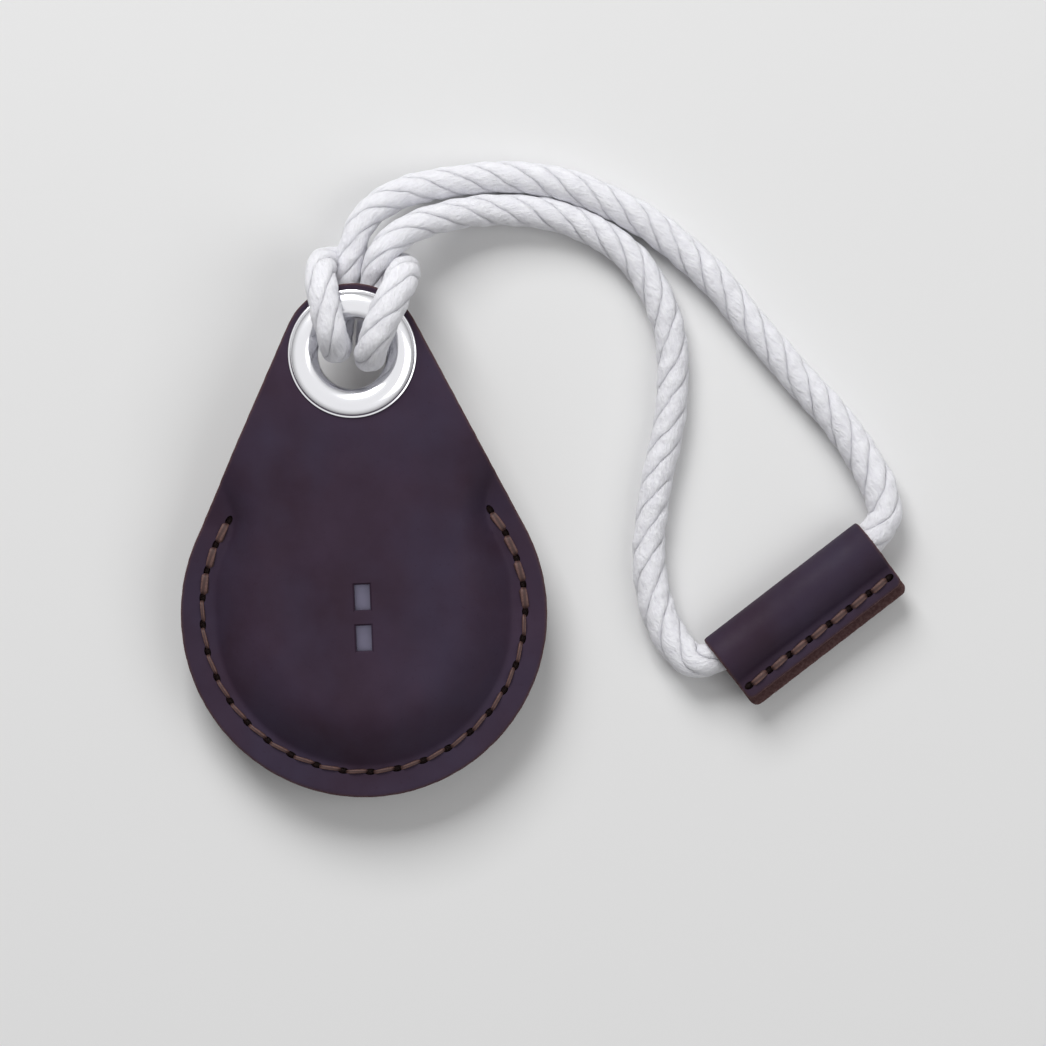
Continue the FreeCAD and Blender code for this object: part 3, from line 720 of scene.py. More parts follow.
@dataclass
class StitchRow:
    """A saddle stitch through a row of holes, seen on both faces."""

    name: str
    holes: Points
    high: float
    low: float
    lifts: Points
    width: float = 0.55
    thick: float = 0.42
    doubled: tuple[int, int] = (0, 0)
    double_share: float = 1.85
    slant: float = 0.40
    dive: float = 1.1
    sunk: float = 1.2
    plies: int = 4
    ply_turn: float = 5.0
    ply_relief: float = 0.14
    waist_share: float = 0.74
    model_length: float = 3.5
    plug_size: tuple[float, float] = (1.56, 0.96)
    plug_gap: float = 0.3
    around: int = 24
    steps: int = 36
    arch: tuple[tuple[float, float], ...] = (
        (0.155, -0.42), (0.185, -0.10), (0.24, 0.10), (0.36, 0.18), (0.5, 0.195),
        (0.64, 0.18), (0.76, 0.10), (0.815, -0.10), (0.845, -0.42),
    )
    ends: tuple[float, float] = (0.15, 0.85)

    def stitch(self) -> bpy.types.Object:
        """Model one stitch of unit length along X that dives into a hole at each end.

        Returns:
            The stitch, whose length is scaled when it is copied.
        """
        head, tail = ((end, -self.dive) for end in self.ends)
        spine = np.array([head, *self.arch, tail])
        line = resample(spine * np.array([self.model_length, 1.0]), self.steps + 1)
        ahead = np.gradient(line, axis=0)
        ahead /= np.linalg.norm(ahead, axis=1)[:, None]
        full = np.sin(np.linspace(0.0, math.pi, self.steps + 1))
        swell = self.waist_share + (1 - self.waist_share) * full ** 0.7
        swell[[0, -1]] = 0.0

        def crest(u: Points, v: Points) -> Points:
            """Nearness to the crest of a ply, which winds slowly along the stitch."""
            return 0.5 + 0.5 * np.cos(self.plies * u * 2 * math.pi - v * self.ply_turn)

        def place(u: Points, v: Points) -> Points:
            """Put a grid point on the stitch."""
            row = np.rint(v * self.steps).astype(int)
            turn = u * 2 * math.pi
            reach = swell[row] * (1 - self.ply_relief / 2 + self.ply_relief * crest(u, v))
            across = np.cos(turn) * self.width / 2 * reach
            out = np.sin(turn) * self.thick / 2 * reach
            x = line[row, 0] - ahead[row, 1] * out
            z = line[row, 1] + ahead[row, 0] * out
            return np.stack([x / self.model_length, across * MM, z * MM], axis=1)

        return loft(self.name + "_master", self.around, self.steps, place, {"ply": crest})

    def plugs(self) -> list[bpy.types.Object]:
        """Fill the middle of each hole with the threads that cross in it.

        Returns:
            One plug for each hole.
        """
        deselect_all()
        bpy.ops.mesh.primitive_cylinder_add(vertices=16, radius=0.5, depth=1.0)
        master = bpy.context.object
        bpy.ops.object.mode_set(mode="EDIT")
        bpy.ops.mesh.select_all(action="SELECT")
        bpy.ops.mesh.bevel(offset=0.12, segments=2)
        bpy.ops.object.mode_set(mode="OBJECT")
        foot = self.low + self.plug_gap
        tall = self.high - self.sunk - foot
        size = Matrix.Diagonal((*(side * MM for side in self.plug_size), tall * MM, 1.0))
        plugs = []
        for spot, ahead, lift in zip(self.holes, np.gradient(self.holes, axis=0), self.lifts):
            place = Vector((spot[0], spot[1], foot + tall / 2 + lift)) * MM
            turn = Matrix.Rotation(math.atan2(ahead[1], ahead[0]), 4, "Z")
            plugs.append(copy_at(master, Matrix.Translation(place) @ turn @ size))
        discard(master)
        return plugs

    def build(self) -> bpy.types.Object:
        """Copy the stitch along the row, on the front and the back.

        Returns:
            All stitches as one piece.
        """
        master = self.stitch()
        copies = []
        up = Vector((0.0, 0.0, 1.0))
        spots = [Vector((*hole[:2], lift)) * MM for hole, lift in zip(self.holes, self.lifts)]
        for number, (head, tail) in enumerate(zip(spots, spots[1:])):
            twice = number < self.doubled[0] or number >= len(spots) - 1 - self.doubled[1]
            broad = self.double_share if twice else 1.0
            side = up.cross(tail - head).normalized()
            for level, face in ((self.high, 1.0), (self.low, -1.0)):
                lean = side * (self.slant / 2 * MM * face)
                base = head - lean + up * (level * MM)
                ahead = (tail + lean) - (head - lean)
                across = (up * face).cross(ahead).normalized() * broad
                turned = Matrix((ahead, across, up * face)).transposed().to_4x4()
                copies.append(copy_at(master, Matrix.Translation(base) @ turned))
        discard(master)
        copies += self.plugs()
        row = join_pieces(self.name, copies)
        smooth_shade(row, 60.0)
        return row


# The pouch


@dataclass
class LeatherPouch:
    """Front panel with its tongue, back pocket and the seam that joins them."""

    pouch_radius: float = 24.0
    tip_radius: float = 9.2
    round_end_y: float = -9.6
    eyelet_y: float = 24.4
    tag_y: float = -10.0
    leather: float = 1.6
    panel_top: float = 11.6
    front_rim_top: float = 7.25
    seam_level: float = 5.6
    mouth_y: float = 5.6
    fold_y: float = 7.0
    droop_y: float = 2.6
    droop_end_y: float = 15.4
    plateau_radius: float = 11.5
    dome_radius: float = 19.5
    mouth_half_width: float = 16.6
    narrow_y: float = -7.0
    lift_y: float = -12.0
    seam_lift: float = 1.2
    back_fullness: float = 3.2
    free_length: float = 12.0
    free_reach: float = 4.5
    rise_power: float = 1.4
    flank_power: float = 2.2
    flank_gain: float = 0.8
    foot_power: float = 1.2
    foot_gain: float = 0.2
    free_gain: float = 1.2
    stitch_radius: float = 21.15
    stitch_y: float = -9.1
    stitch_count: int = 27
    stitch_sweep: float = 252.0
    slot_size: tuple[float, float] = (2.02, 3.32)
    slot_pitch: float = 5.33
    slot_depth: float = 2.5
    slot_flare_depth: float = 0.22
    hole_size: tuple[float, float] = (1.5, 0.86)
    hole_below: float = 2.4
    hole_above: float = 0.8
    eyelet_hole: float = 5.05
    eyelet_below: float = 3.0
    eyelet_above: float = 1.0

    def holes(self) -> Points:
        """Give the places of the stitch holes round the pocket."""
        angles = np.radians(-90.0 + self.stitch_sweep * np.linspace(-0.5, 0.5, self.stitch_count))
        return np.stack([np.cos(angles) * self.stitch_radius,
                         self.stitch_y + np.sin(angles) * self.stitch_radius], axis=1)

    def last_y(self) -> float:
        """Give how far up the last stitches of the seam lie."""
        return float(self.holes()[:, 1].max())

    def lift(self, y: Points) -> Points:
        """Rise of the sewn rim towards the mouth, where the tongue holds it up."""
        return self.seam_lift * ease((y - self.lift_y) / (self.last_y() - self.lift_y))

    def bulge(self, x: Points, y: Points, steeper: float = 0.0) -> Points:
        """Share of the full bulge: 1 over the tag's face, 0 on the sewn rim.

        Args:
            x: Places across the pouch, in millimetres.
            y: Places along the pouch.
            steeper: Added fullness of the flanks beside the mouth.

        Returns:
            The share at each place.
        """
        last = self.last_y()
        rise = ease((y - self.narrow_y) / (last - self.narrow_y)) ** self.rise_power
        free = ease((y - last) / self.free_length)
        reach = np.hypot(x, np.minimum(y - self.tag_y, 0.0))
        narrowing = (self.mouth_half_width - self.dome_radius) * rise
        foot = self.dome_radius + narrowing + self.free_reach * free
        flank = np.clip((reach - self.plateau_radius) / (foot - self.plateau_radius), 0.0, 1.0)
        shoulder = 1 - flank ** (self.flank_power + (self.flank_gain + steeper) * rise)
        return shoulder ** (self.foot_power + self.foot_gain * rise + self.free_gain * free)

    def front_height(self, x: Points, y: Points) -> Points:
        """Height of the front's outer face at places in millimetres."""
        share = np.clip((y - self.droop_y) / (self.droop_end_y - self.droop_y), 0.0, 1.0)
        droop = 1 - (0.5 * share + 0.5 * ease(share))
        drop = self.panel_top - self.front_rim_top - self.lift(y)
        return self.panel_top - drop * droop * (1 - self.bulge(x, y))

    def back_height(self, x: Points, y: Points) -> Points:
        """Height of the pocket's inner face at places in millimetres."""
        climb = self.seam_level + self.lift(y) - self.leather
        return self.leather + climb * (1 - self.bulge(x, y, self.back_fullness))

    def teardrop(self) -> Points:
        """Give the outline of the leather, anticlockwise from its left shoulder."""
        lean = math.asin((self.pouch_radius - self.tip_radius) / (self.eyelet_y - self.round_end_y))
        low = np.linspace(-math.pi - lean, lean, 300)
        high = np.linspace(lean, math.pi - lean, 120)
        big = np.stack([np.cos(low), np.sin(low)], axis=1) * self.pouch_radius + (0.0, self.round_end_y)
        small = np.stack([np.cos(high), np.sin(high)], axis=1) * self.tip_radius + (0.0, self.eyelet_y)
        return np.vstack([big, small])

    def pocket_outline(self) -> Points:
        """Give the back pocket's outline, cut straight at the mouth."""
        line = self.teardrop()
        arc = line[line[:, 1] <= self.mouth_y]
        shoulder = arc[-1]
        tip = line[len(arc)]
        share = (self.mouth_y - shoulder[1]) / (tip[1] - shoulder[1])
        half = shoulder[0] + (tip[0] - shoulder[0]) * share
        return np.vstack([[-half, self.mouth_y], arc, [half, self.mouth_y]])

    def moulded(self, height: Place) -> Lay:
        """Give the lay of a sheet from the height of its upper face.

        Args:
            height: Gives the height at places in millimetres.

        Returns:
            The lay, for places and a depth below the upper face.
        """
        def lay(x: Points, y: Points, depth: Points) -> Points:
            """Put flat places at their height."""
            return np.stack([x, y, height(x, y) + depth], axis=1)

        return lay

    def build_front(self) -> bpy.types.Object:
        """Model the front panel and tongue as one leather sheet that bends at the fold.

        Returns:
            The front sheet with its holes cut.
        """
        piece = LeatherSheet("front_leather", self.teardrop(), (0.0, self.round_end_y),
                             self.moulded(self.front_height), Side.UP).build()
        punch = Punch()
        self.punch_seam(punch, self.front_rim_top)
        for way in (-0.5, 0.5):
            spot = np.array([0.0, self.tag_y + way * self.slot_pitch])
            punch.slot(spot, *self.slot_size, self.panel_top - self.slot_depth,
                       self.panel_top - self.slot_flare_depth)
        spot = np.array([0.0, self.eyelet_y])
        size = 2 * self.eyelet_hole
        punch.oval(spot, np.array([1.0, 0.0]), size, size, self.panel_top - self.eyelet_below,
                   self.panel_top + self.eyelet_above)
        punch.cut(piece)
        smooth_shade(piece)
        return piece

    def build_back(self) -> bpy.types.Object:
        """Model the back pocket as a moulded leather sheet.

        Returns:
            The back sheet with its stitch holes cut.
        """
        piece = LeatherSheet("back_leather", self.pocket_outline(), (0.0, self.round_end_y),
                             self.moulded(self.back_height), Side.DOWN).build()
        punch = Punch()
        self.punch_seam(punch, self.seam_level)
        punch.cut(piece)
        smooth_shade(piece)
        return piece

    def punch_seam(self, punch: Punch, level: float) -> None:
        """Add the seam's holes to a punch, for a rim with its top at a level."""
        spots = self.holes()
        along = np.gradient(spots, axis=0)
        for spot, ahead, lift in zip(spots, along, self.lift(spots[:, 1])):
            punch.oval(spot, ahead, *self.hole_size, level + lift - self.hole_below,
                       level + lift + self.hole_above)

    def build(self, leather: bpy.types.Material, thread: bpy.types.Material) -> None:
        """Make all leather and thread of the pouch and put them on their bodies.

        Args:
            leather: Finish of both sheets.
            thread: Finish of the seam.
        """
        front = self.build_front()
        wear(front, leather)
        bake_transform(front)
        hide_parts("front_panel", "tongue")
        log.info("front leather: %d faces", len(front.data.polygons))
        back = self.build_back()
        wear(back, leather)
        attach(back, Body.POUCH.value)
        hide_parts("back_pocket")
        log.info("back leather: %d faces", len(back.data.polygons))
        spots = self.holes()[::-1]
        row = StitchRow("seam_stitches", spots, self.front_rim_top, self.seam_level - self.leather,
                        self.lift(spots[:, 1]), doubled=(4, 3)).build()
        wear(row, thread)
        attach(row, Body.POUCH.value)
        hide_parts("seam_thread")
        log.info("seam: %d faces", len(row.data.polygons))


# The eyelet


@dataclass
class Eyelet:
    """Rolled eyelet with a convex flange and a thin outer rim."""

    axis_y: float = 24.4
    columns: int = 128
    profile: tuple[tuple[float, float], ...] = (
        (8.34, 11.64), (8.39, 11.71), (8.37, 11.80), (8.28, 11.86), (8.19, 11.87), (8.12, 11.91),
        (8.04, 12.03), (7.90, 12.20), (7.60, 12.42), (7.20, 12.58), (6.80, 12.67), (6.40, 12.70),
        (5.95, 12.65), (5.48, 12.48), (5.06, 12.21), (4.73, 11.86), (4.53, 11.40), (4.46, 10.6),
        (4.46, 9.4), (4.52, 9.08), (4.75, 8.96), (5.3, 8.95), (5.85, 8.97), (6.2, 9.03),
        (6.28, 9.15), (6.15, 9.26), (5.6, 9.27), (5.1, 9.29), (4.96, 9.5), (4.95, 10.4),
        (4.96, 11.4), (5.1, 11.62), (6.0, 11.63), (7.4, 11.63),
    )

    def build(self, metal: bpy.types.Material) -> None:
        """Turn the eyelet and dress it.

        Args:
            metal: Finish of the eyelet.
        """
        deselect_all()
        bpy.ops.mesh.primitive_circle_add(vertices=len(self.profile), radius=1.0)
        ring = bpy.context.object
        ring.name = "eyelet_ring"
        ring.data.name = "eyelet_ring"
        for corner, (radius, height) in zip(ring.data.vertices, self.profile):
            corner.co = Vector((radius, self.axis_y, height)) * MM
        bpy.ops.object.mode_set(mode="EDIT")
        bpy.ops.mesh.select_all(action="SELECT")
        bpy.ops.mesh.spin(steps=self.columns, angle=2 * math.pi, center=(0.0, self.axis_y * MM, 0.0),
                          axis=(0.0, 0.0, 1.0))
        bpy.ops.object.mode_set(mode="OBJECT")
        clean_mesh(ring)
        apply_modifier(ring, "SUBSURF", levels=1, render_levels=1)
        smooth_shade(ring, 60.0)
        wear(ring, metal)
        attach(ring, Body.FLAP.value)
        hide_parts("eyelet")
        log.info("eyelet: %d faces", len(ring.data.polygons))


# The rope loop


@dataclass
class RopeLoop:
    """Four-strand rope in a cow hitch, its ends joined inside the sleeve."""

    diameter: float = 4.3
    lay_length: float = 17.2
    strands: int = 4
    groove_depth: float = 0.12
    groove_power: float = 7.0
    crown: float = 0.06
    girth_wave: tuple[float, float] = (0.31, 0.02)
    lay_waves: tuple[tuple[float, float, float], ...] = ((0.8, 0.0, 0.008), (2.1, 1.0, 0.005))
    slow_puff: tuple[float, float, float] = (0.9, 2.1, 0.03)
    quick_puff: tuple[float, float, float] = (2.3, 4.0, 0.02)
    even_groove: float = 0.7
    end_gap: float = 0.6
    step: float = 0.36
    columns: int = 72
    sleeve_girth: float = 2.05
    inner_leg: tuple[tuple[float, float, float, float], ...] = (
        (44.8, -19.15, 3.8, 2.2), (40.4, -15.6, 2.9, 2.4), (37.4, -7.6, 2.25, 2.25), (38.2, 3.3, 2.2, 2.12),
        (41.4, 14.2, 2.2, 2.12), (42.3, 25.2, 2.2, 2.12), (38.6, 35.0, 2.2, 2.15), (30.4, 41.2, 2.2, 2.15),
        (20.2, 43.2, 2.9, 2.12),
    )
    hitch: tuple[tuple[float, float, float, float], ...] = (
        (12.1, 42.1, 5.0, 2.05), (7.6, 40.6, 7.2, 2.0), (3.7, 37.2, 8.3, 1.98), (2.8, 31.7, 6.4, 1.95),
        (2.2, 24.1, 6.3, 2.0), (2.2, 23.9, 15.1, 2.1), (5.2, 30.5, 15.4, 2.3), (7.1, 34.3, 12.6, 2.25),
        (7.3, 36.0, 2.5, 1.9), (-2.8, 37.4, 2.5, 1.95), (-3.9, 35.6, 12.6, 2.05), (-3.3, 31.4, 15.3, 2.12),
        (-2.1, 25.1, 15.1, 2.05), (-2.1, 25.3, 6.3, 2.0), (-1.1, 32.2, 6.4, 1.9), (0.25, 37.6, 6.9, 1.9),
        (1.6, 42.2, 6.4, 1.95), (6.6, 45.6, 4.4, 2.08), (14.6, 47.1, 2.7, 2.1),
    )
    outer_leg: tuple[tuple[float, float, float, float], ...] = (
        (25.2, 47.2, 2.25, 2.2), (36.4, 42.8, 2.3, 2.25), (46.6, 34.5, 2.3, 2.25), (55.0, 23.0, 2.25, 2.2),
        (64.0, 12.7, 2.3, 2.28), (68.9, 3.9, 2.6, 2.4), (69.0, -2.05, 3.8, 2.2),
    )

    def sleeve_axis(self) -> tuple[Points, Points]:
        """Give the middle of the sleeve and the direction of its axis."""
        low = np.array(self.inner_leg[0][:3])
        high = np.array(self.outer_leg[-1][:3])
        return (low + high) / 2, (high - low) / np.linalg.norm(high - low)

    def route(self) -> Points:
        """Give the route's points and radii from one rope end to the other, in millimetres."""
        middle, ahead = self.sleeve_axis()
        shift = ahead * self.end_gap / 2
        first = (*(middle - shift), self.sleeve_girth)
        final = (*(middle + shift), self.sleeve_girth)
        return np.array([first, *self.inner_leg, *self.hitch, *self.outer_leg, final])

    def line(self) -> Points:
        """Read evenly spaced points from the route's smooth spline.

        Returns:
            Points along the rope's middle and its radius there, in millimetres.
        """
        route = self.route()
        points = route[:, :3] * MM
        curve = bpy.data.curves.new("rope_line", "CURVE")
        curve.dimensions = "3D"
        curve.resolution_u = 40
        spline = curve.splines.new("NURBS")
        spline.points.add(len(points) - 1)
        for point, place in zip(spline.points, points):
            point.co = (*place, 1.0)
        spline.order_u = 3
        spline.use_endpoint_u = True
        holder = bpy.data.objects.new("rope_line", curve)
        bpy.context.collection.objects.link(holder)
        bpy.context.view_layer.update()
        mesh = bpy.data.meshes.new_from_object(holder)
        raw = np.array([vertex.co for vertex in mesh.vertices]) / MM
        bpy.data.objects.remove(holder)
        bpy.data.curves.remove(curve)
        bpy.data.meshes.remove(mesh)
        marks = np.linspace(0.0, len(route) - 2, len(raw)) + 0.5
        girth = np.interp(marks, np.arange(len(route)), route[:, 3])
        length = np.linalg.norm(np.diff(raw, axis=0), axis=1).sum()
        return resample(np.column_stack([raw, girth]), int(length / self.step) + 1)

    def frames(self, line: Points) -> tuple[Points, Points]:
        """Carry a pair of cross directions along the rope without twist.

        Args:
            line: Points along the rope's middle.

        Returns:
            The two cross directions at each point.
        """
        ahead = np.gradient(line, axis=0)
        ahead /= np.linalg.norm(ahead, axis=1)[:, None]
        first = np.cross(ahead[0], (0.0, 0.0, 1.0))
        rights = [first / np.linalg.norm(first)]
        for way in ahead[1:]:
            carried = rights[-1] - way * np.dot(rights[-1], way)
            rights.append(carried / np.linalg.norm(carried))
        right = np.array(rights)
        return right, np.cross(ahead, right)

    def build(self, cotton: bpy.types.Material) -> tuple[bpy.types.Object, Points]:
        """Model the laid rope along its spline.

        Args:
            cotton: Finish of the rope.

        Returns:
            The rope piece and the points that it follows, in metres.
        """
        full = self.line()
        line = full[:, :3]
        right, over = self.frames(line)
        last = len(line) - 1
        travel = np.arange(last + 1) * self.step
        pace, height = self.girth_wave
        girth = full[:, 3] + np.sin(travel * pace) * height
        girth[[0, -1]] = 0.0
        waver = sum(height * np.sin(travel * pace + shift) for pace, shift, height in self.lay_waves)

        def strand(u: Points) -> tuple[Points, Points]:
            """Number of the strand and the place across it, from -1 to 1 at its grooves."""
            part = u * self.strands
            number = np.minimum(np.floor(part + MERGE), self.strands - 1)
            return number, np.sin((part - number - 0.5) * math.pi)

        def groove(u: Points, v: Points) -> Points:
            """Nearness to the groove between two strands."""
            return np.abs(strand(u)[1]) ** self.groove_power

        def place(u: Points, v: Points) -> Points:
            """Put a grid point on the rope's surface."""
            row = np.rint(v * last).astype(int)
            number, side = strand(u)
            share = (number + 0.5 + side / 2) / self.strands + travel[row] / self.lay_length + waver[row]
            turn = (share * 2 * math.pi)[:, None]
            slow, quick = (np.sin(travel[row] * pace + number * shift)
                           for pace, shift, _ in (self.slow_puff, self.quick_puff))
            puff = (self.slow_puff[2] * slow + self.quick_puff[2] * quick) * (1 - side * side)
            uneven = self.even_groove + (1 - self.even_groove) * slow * quick
            seam = self.groove_depth * uneven * groove(u, v)
            reach = (girth[row] * (1 + puff - self.crown * side * side - seam))[:, None]
            return (line[row] + (right[row] * np.cos(turn) + over[row] * np.sin(turn)) * reach) * MM

        rope = loft("rope", self.columns, last, place, {"groove": groove})
        smooth_shade(rope, 80.0)
        wear(rope, cotton)
        path = line * MM
        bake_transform(rope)
        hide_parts("rope_hitch", "rope_leg_inner", "rope_leg_outer")
        log.info("rope: %.1f mm, %d faces", travel[-1], len(rope.data.polygons))
        return rope, path


@dataclass
class Sleeve:
    """Leather folded round the rope's ends, its two edges sewn together."""

    middle: Points
    ahead: Points
    length: float = 25.4
    leather: float = 1.6
    wrap_radius: float = 2.95
    layer_height: float = 0.86
    bend_radius: float = 1.6
    top_reach: float = 6.3
    low_reach: float = 7.55
    stitch_reach: float = 4.62
    stitch_pitch: float = 3.3
    stitch_count: int = 8
    hole_size: tuple[float, float] = (1.4, 0.95)
    hole_reach: float = 4.0
    corner: float = 1.0
    spare: float = 0.3
    fold_points: int = 600

    def fold_line(self) -> Points:
        """Give the fold's middle line across the sleeve, from the upper edge to the lower."""
        rise = self.layer_height + self.bend_radius
        far = math.sqrt((self.wrap_radius + self.bend_radius) ** 2 - rise ** 2)
        meet = math.atan2(rise, far)
        bend = np.linspace(-math.pi / 2, -math.pi + meet, 24)
        upper = np.stack([np.cos(bend), np.sin(bend)], axis=1) * self.bend_radius + (far, rise)
        wrap = np.linspace(meet, 2 * math.pi - meet, 120)
        tube = np.stack([np.cos(wrap), np.sin(wrap)], axis=1) * self.wrap_radius
        lower = (upper * (1.0, -1.0))[::-1]
        start = np.array([[self.top_reach + self.spare, self.layer_height]])
        end = np.array([[self.low_reach + self.spare, -self.layer_height]])
        return np.vstack([start, upper, tube, lower, end])

    def outline(self, width: float) -> Points:
        """Give the flat cut of the sleeve with rounded corners.

        Args:
            width: Developed width across the fold, with the spare at both ends.

        Returns:
            The outline, anticlockwise, without the spare.
        """
        half = self.length / 2 - self.corner
        first = self.spare + self.corner
        arcs = []
        for x, y, start in ((half, width - first, 0.0), (-half, width - first, 90.0),
                            (-half, first, 180.0), (half, first, 270.0)):
            turn = np.radians(np.linspace(start, start + 90.0, 12))
            arcs.append(np.stack([x + np.cos(turn) * self.corner, y + np.sin(turn) * self.corner], axis=1))
        return np.vstack(arcs)

    def build(self, leather: bpy.types.Material, thread: bpy.types.Material) -> list[bpy.types.Object]:
        """Model the folded leather and its stitches.

        Args:
            leather: Finish of the leather.
            thread: Finish of the stitches.

        Returns:
            The leather and the stitches.
        """
        fold = resample(self.fold_line(), self.fold_points)
        steps = np.linalg.norm(np.diff(fold, axis=0), axis=1)
        travel = np.concatenate([[0.0], np.cumsum(steps)])
        onward = np.gradient(fold, axis=0)
        onward /= np.linalg.norm(onward, axis=1)[:, None]
        outward = np.stack([onward[:, 1], -onward[:, 0]], axis=1)
        up = np.array([0.0, 0.0, 1.0])
        side = np.cross(self.ahead, up)

        def lay(x: Points, y: Points, depth: Points) -> Points:
            """Fold the flat cut round the rope."""
            offset = depth + self.leather / 2
            across = np.interp(y, travel, fold[:, 0]) + np.interp(y, travel, outward[:, 0]) * offset
            height = np.interp(y, travel, fold[:, 1]) + np.interp(y, travel, outward[:, 1]) * offset
            return self.middle + x[:, None] * self.ahead + across[:, None] * side + height[:, None] * up

        sheet = LeatherSheet("sleeve_leather", self.outline(travel[-1]), (0.0, travel[-1] / 2), lay,
                             Side.UP, columns=320, rings=44)
        piece = sheet.build()
        reach = self.stitch_pitch * (self.stitch_count - 1) / 2
        spots = np.array([self.middle + side * self.stitch_reach + self.ahead * shift
                          for shift in np.linspace(-reach, reach, self.stitch_count)])
        punch = Punch()
        for spot in spots:
            punch.oval(spot, self.ahead, *self.hole_size, self.middle[2] - self.hole_reach,
                       self.middle[2] + self.hole_reach)
        punch.cut(piece)
        smooth_shade(piece)
        wear(piece, leather)
        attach(piece, Body.LOOP.value)
        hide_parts("sleeve")
        half = self.layer_height + self.leather / 2
        row = StitchRow("sleeve_stitches", spots[::-1], self.middle[2] + half, self.middle[2] - half,
                        np.zeros(self.stitch_count), width=0.88).build()
        wear(row, thread)
        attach(row, Body.LOOP.value)
        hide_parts("sleeve_thread")
        log.info("sleeve: %d faces", len(piece.data.polygons))
        return [piece, row]


# The tag


@dataclass
class TrackerTag:
    """Finishes for the tag's own pieces, whose solids already have their shape."""

    finishes: dict[str, Finish] = field(default_factory=lambda: {
        "tag_shell": Moulding("casing_white", (0.80, 0.80, 0.80), (0.785, 0.785, 0.79), (0.20, 0.23),
                              900.0, 0.008),
        "tag_frame": Moulding("frame_white", (0.78, 0.78, 0.79), (0.765, 0.765, 0.775), (0.24, 0.27),
                              900.0, 0.008),
        # The battery cover takes the dark default steel tone, which is painted shade.
        "battery_cover": TurnedSteel(),
        "seal_ring": Moulding("seal_rubber", (0.03, 0.03, 0.03), (0.045, 0.045, 0.045), (0.6, 0.8),
                              2000.0, 0.15),
        "coin_cell": TurnedSteel("cell_steel", (0.62, 0.62, 0.62)),
        "battery_contacts": PolishedMetal("contact_plate", (0.80, 0.62, 0.30), (0.2, 0.35)),
        "circuit_board": Moulding("solder_mask", (0.02, 0.09, 0.045), (0.03, 0.14, 0.07), (0.3, 0.45),
                                  1100.0, 0.12),
        "board_chips": Moulding("chip_resin", (0.02, 0.02, 0.022), (0.03, 0.03, 0.032), (0.5, 0.65),
                                2400.0, 0.1),
        "speaker_magnet": PolishedMetal("magnet_plate", (0.55, 0.55, 0.57), (0.25, 0.4)),
        "voice_coil": Moulding("coil_wire", (0.55, 0.24, 0.10), (0.42, 0.17, 0.07), (0.3, 0.45),
                               3200.0, 0.3, 1.0),
        "antenna_ring": Moulding("antenna_carrier", (0.05, 0.05, 0.055), (0.07, 0.07, 0.075), (0.45, 0.6)),
    })

    def dress(self) -> None:
        """Give each piece of the tag its finish."""
        for node, finish in self.finishes.items():
            dress_node(node, finish.material())
            log.info("tag piece: %s", node)


def dress_node(node: str, material: bpy.types.Material) -> None:
    """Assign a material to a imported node's own slots."""
    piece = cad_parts[node]
    for slot in piece.material_slots:
        slot.material = material


# The studio


@dataclass(frozen=True)
class SoftLight:
    """A square area light, with its place and size in metres and its power in watts."""

    name: str
    spot: tuple[float, float, float]
    size: float
    power: float


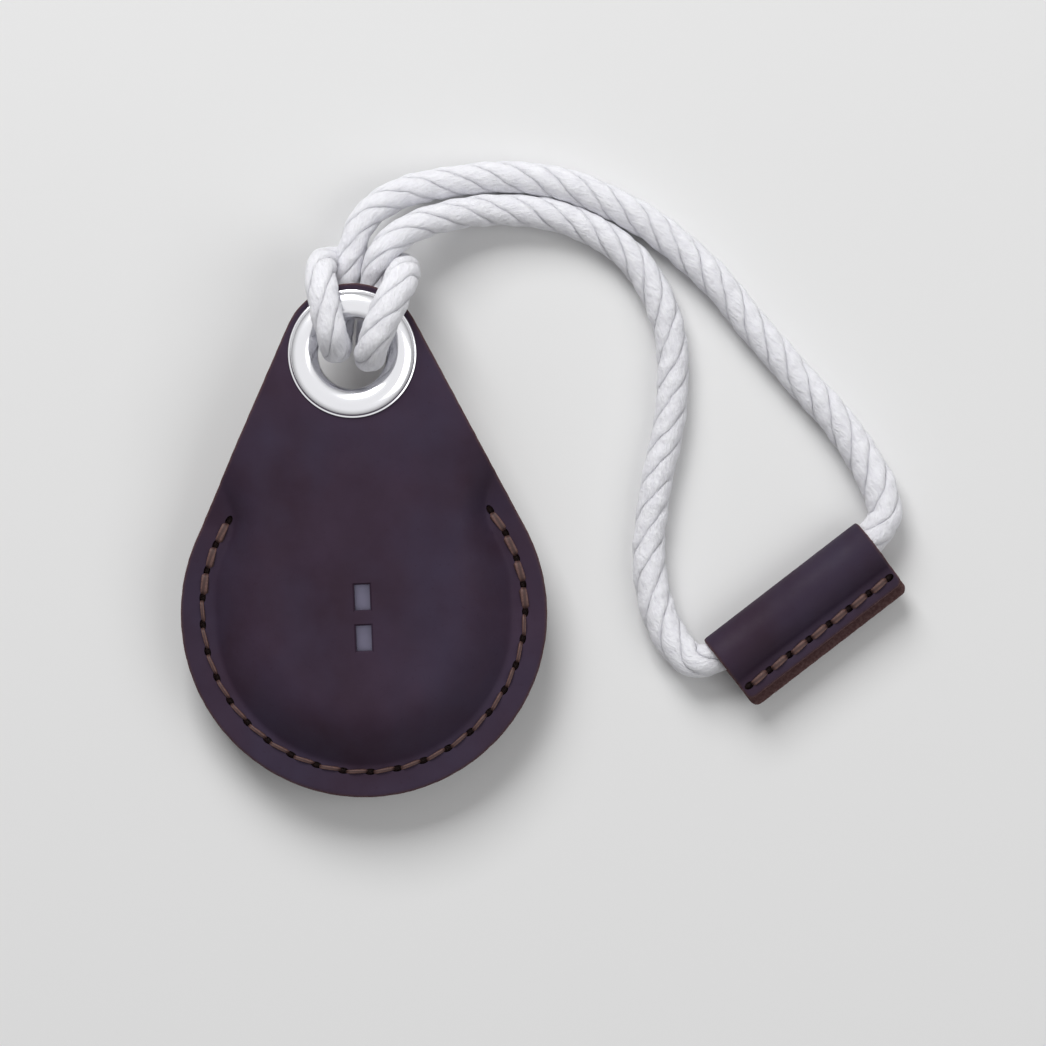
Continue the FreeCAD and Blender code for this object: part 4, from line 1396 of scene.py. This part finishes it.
@dataclass
class Studio:
    """Pale floor, soft lights and a camera straight above."""

    aim: tuple[float, float] = (21.30, 1.48)
    turn: float = 2.35
    field_width: float = 136.95
    focus_height: float = 7.25
    lens: float = 180.0
    sensor: float = 36.0
    sky_level: float = 0.31
    horizon: float = 0.30
    horizon_end: float = 0.75
    floor_size: float = 6.0
    floor_tone: Colour = (0.78, 0.78, 0.78)
    key: SoftLight = SoftLight("key_light", (-0.20, 0.70, 0.64), 0.5, 7.7)
    fill: SoftLight = SoftLight("fill_light", (0.55, -0.15, 0.7), 0.6, 2.0)

    def build(self) -> None:
        """Set up the floor, the lights, the world and the camera."""
        self.floor()
        for light in (self.key, self.fill):
            self.place_light(light)
        self.world()
        self.camera()
        bpy.context.scene.view_settings.view_transform = "Standard"

    def floor(self) -> None:
        """Lay a wide pale floor under the holder."""
        deselect_all()
        bpy.ops.mesh.primitive_plane_add(size=self.floor_size)
        floor = bpy.context.object
        floor.name = "floor"
        w = Wiring("pale_floor")
        w.set(Base_Color=self.floor_tone, Roughness=0.9, Specular_IOR_Level=0.1)
        wear(floor, w.material)

    def place_light(self, light: SoftLight) -> None:
        """Place an area light that looks at the holder."""
        lamp = bpy.data.lights.new(light.name, "AREA")
        lamp.size = light.size
        lamp.energy = light.power
        holder = bpy.data.objects.new(light.name, lamp)
        holder.location = light.spot
        aim = Vector((self.aim[0] * MM, self.aim[1] * MM, 0.0)) - Vector(light.spot)
        holder.rotation_euler = aim.to_track_quat("-Z", "Y").to_euler()
        bpy.context.collection.objects.link(holder)

    def world(self) -> None:
        """Set an even world, darker towards the horizon and full for what is seen directly."""
        world = bpy.data.worlds.new("studio")
        world.use_nodes = True
        tree = world.node_tree
        sky = tree.nodes["Background"]
        compass = tree.nodes.new("ShaderNodeTexCoord")
        parts = tree.nodes.new("ShaderNodeSeparateXYZ")
        shade = tree.nodes.new("ShaderNodeMapRange")
        shade.inputs["From Max"].default_value = self.horizon_end
        shade.inputs["To Min"].default_value = self.horizon
        tree.links.new(compass.outputs["Generated"], parts.inputs["Vector"])
        tree.links.new(parts.outputs["Z"], shade.inputs["Value"])
        tree.links.new(shade.outputs["Result"], sky.inputs["Color"])
        rays = tree.nodes.new("ShaderNodeLightPath")
        seen = tree.nodes.new("ShaderNodeMath")
        seen.operation = "MAXIMUM"
        level = tree.nodes.new("ShaderNodeMapRange")
        level.inputs["To Min"].default_value = self.sky_level
        tree.links.new(rays.outputs["Is Camera Ray"], seen.inputs[0])
        tree.links.new(rays.outputs["Is Glossy Ray"], seen.inputs[1])
        tree.links.new(seen.outputs["Value"], level.inputs["Value"])
        tree.links.new(level.outputs["Result"], sky.inputs["Strength"])
        bpy.context.scene.world = world

    def camera(self) -> None:
        """Look straight down, turned as the photograph is."""
        eye = bpy.data.cameras.new("camera")
        eye.lens = self.lens
        eye.sensor_width = self.sensor
        eye.clip_end = 10.0
        holder = bpy.data.objects.new("camera", eye)
        distance = self.field_width * self.lens / self.sensor
        holder.location = Vector((*self.aim, distance + self.focus_height)) * MM
        holder.rotation_euler = (0.0, 0.0, -math.radians(self.turn))
        bpy.context.collection.objects.link(holder)
        bpy.context.scene.camera = holder


def main() -> None:
    logging.basicConfig(level=logging.INFO, format="%(name)s: %(message)s")
    leather = WaxedLeather().material()
    thread = WaxedThread().material()
    plate = PolishedMetal().material()
    Studio().build()
    loop = RopeLoop()
    rope, path = loop.build(CottonRope().material())
    sleeve = Sleeve(*loop.sleeve_axis())
    joined = sleeve.build(leather, thread)
    LeatherPouch().build(leather, thread)
    Eyelet().build(plate)
    dress_node("eyelet_washer", plate)
    TrackerTag().dress()


if __name__ == "__main__":
    main()
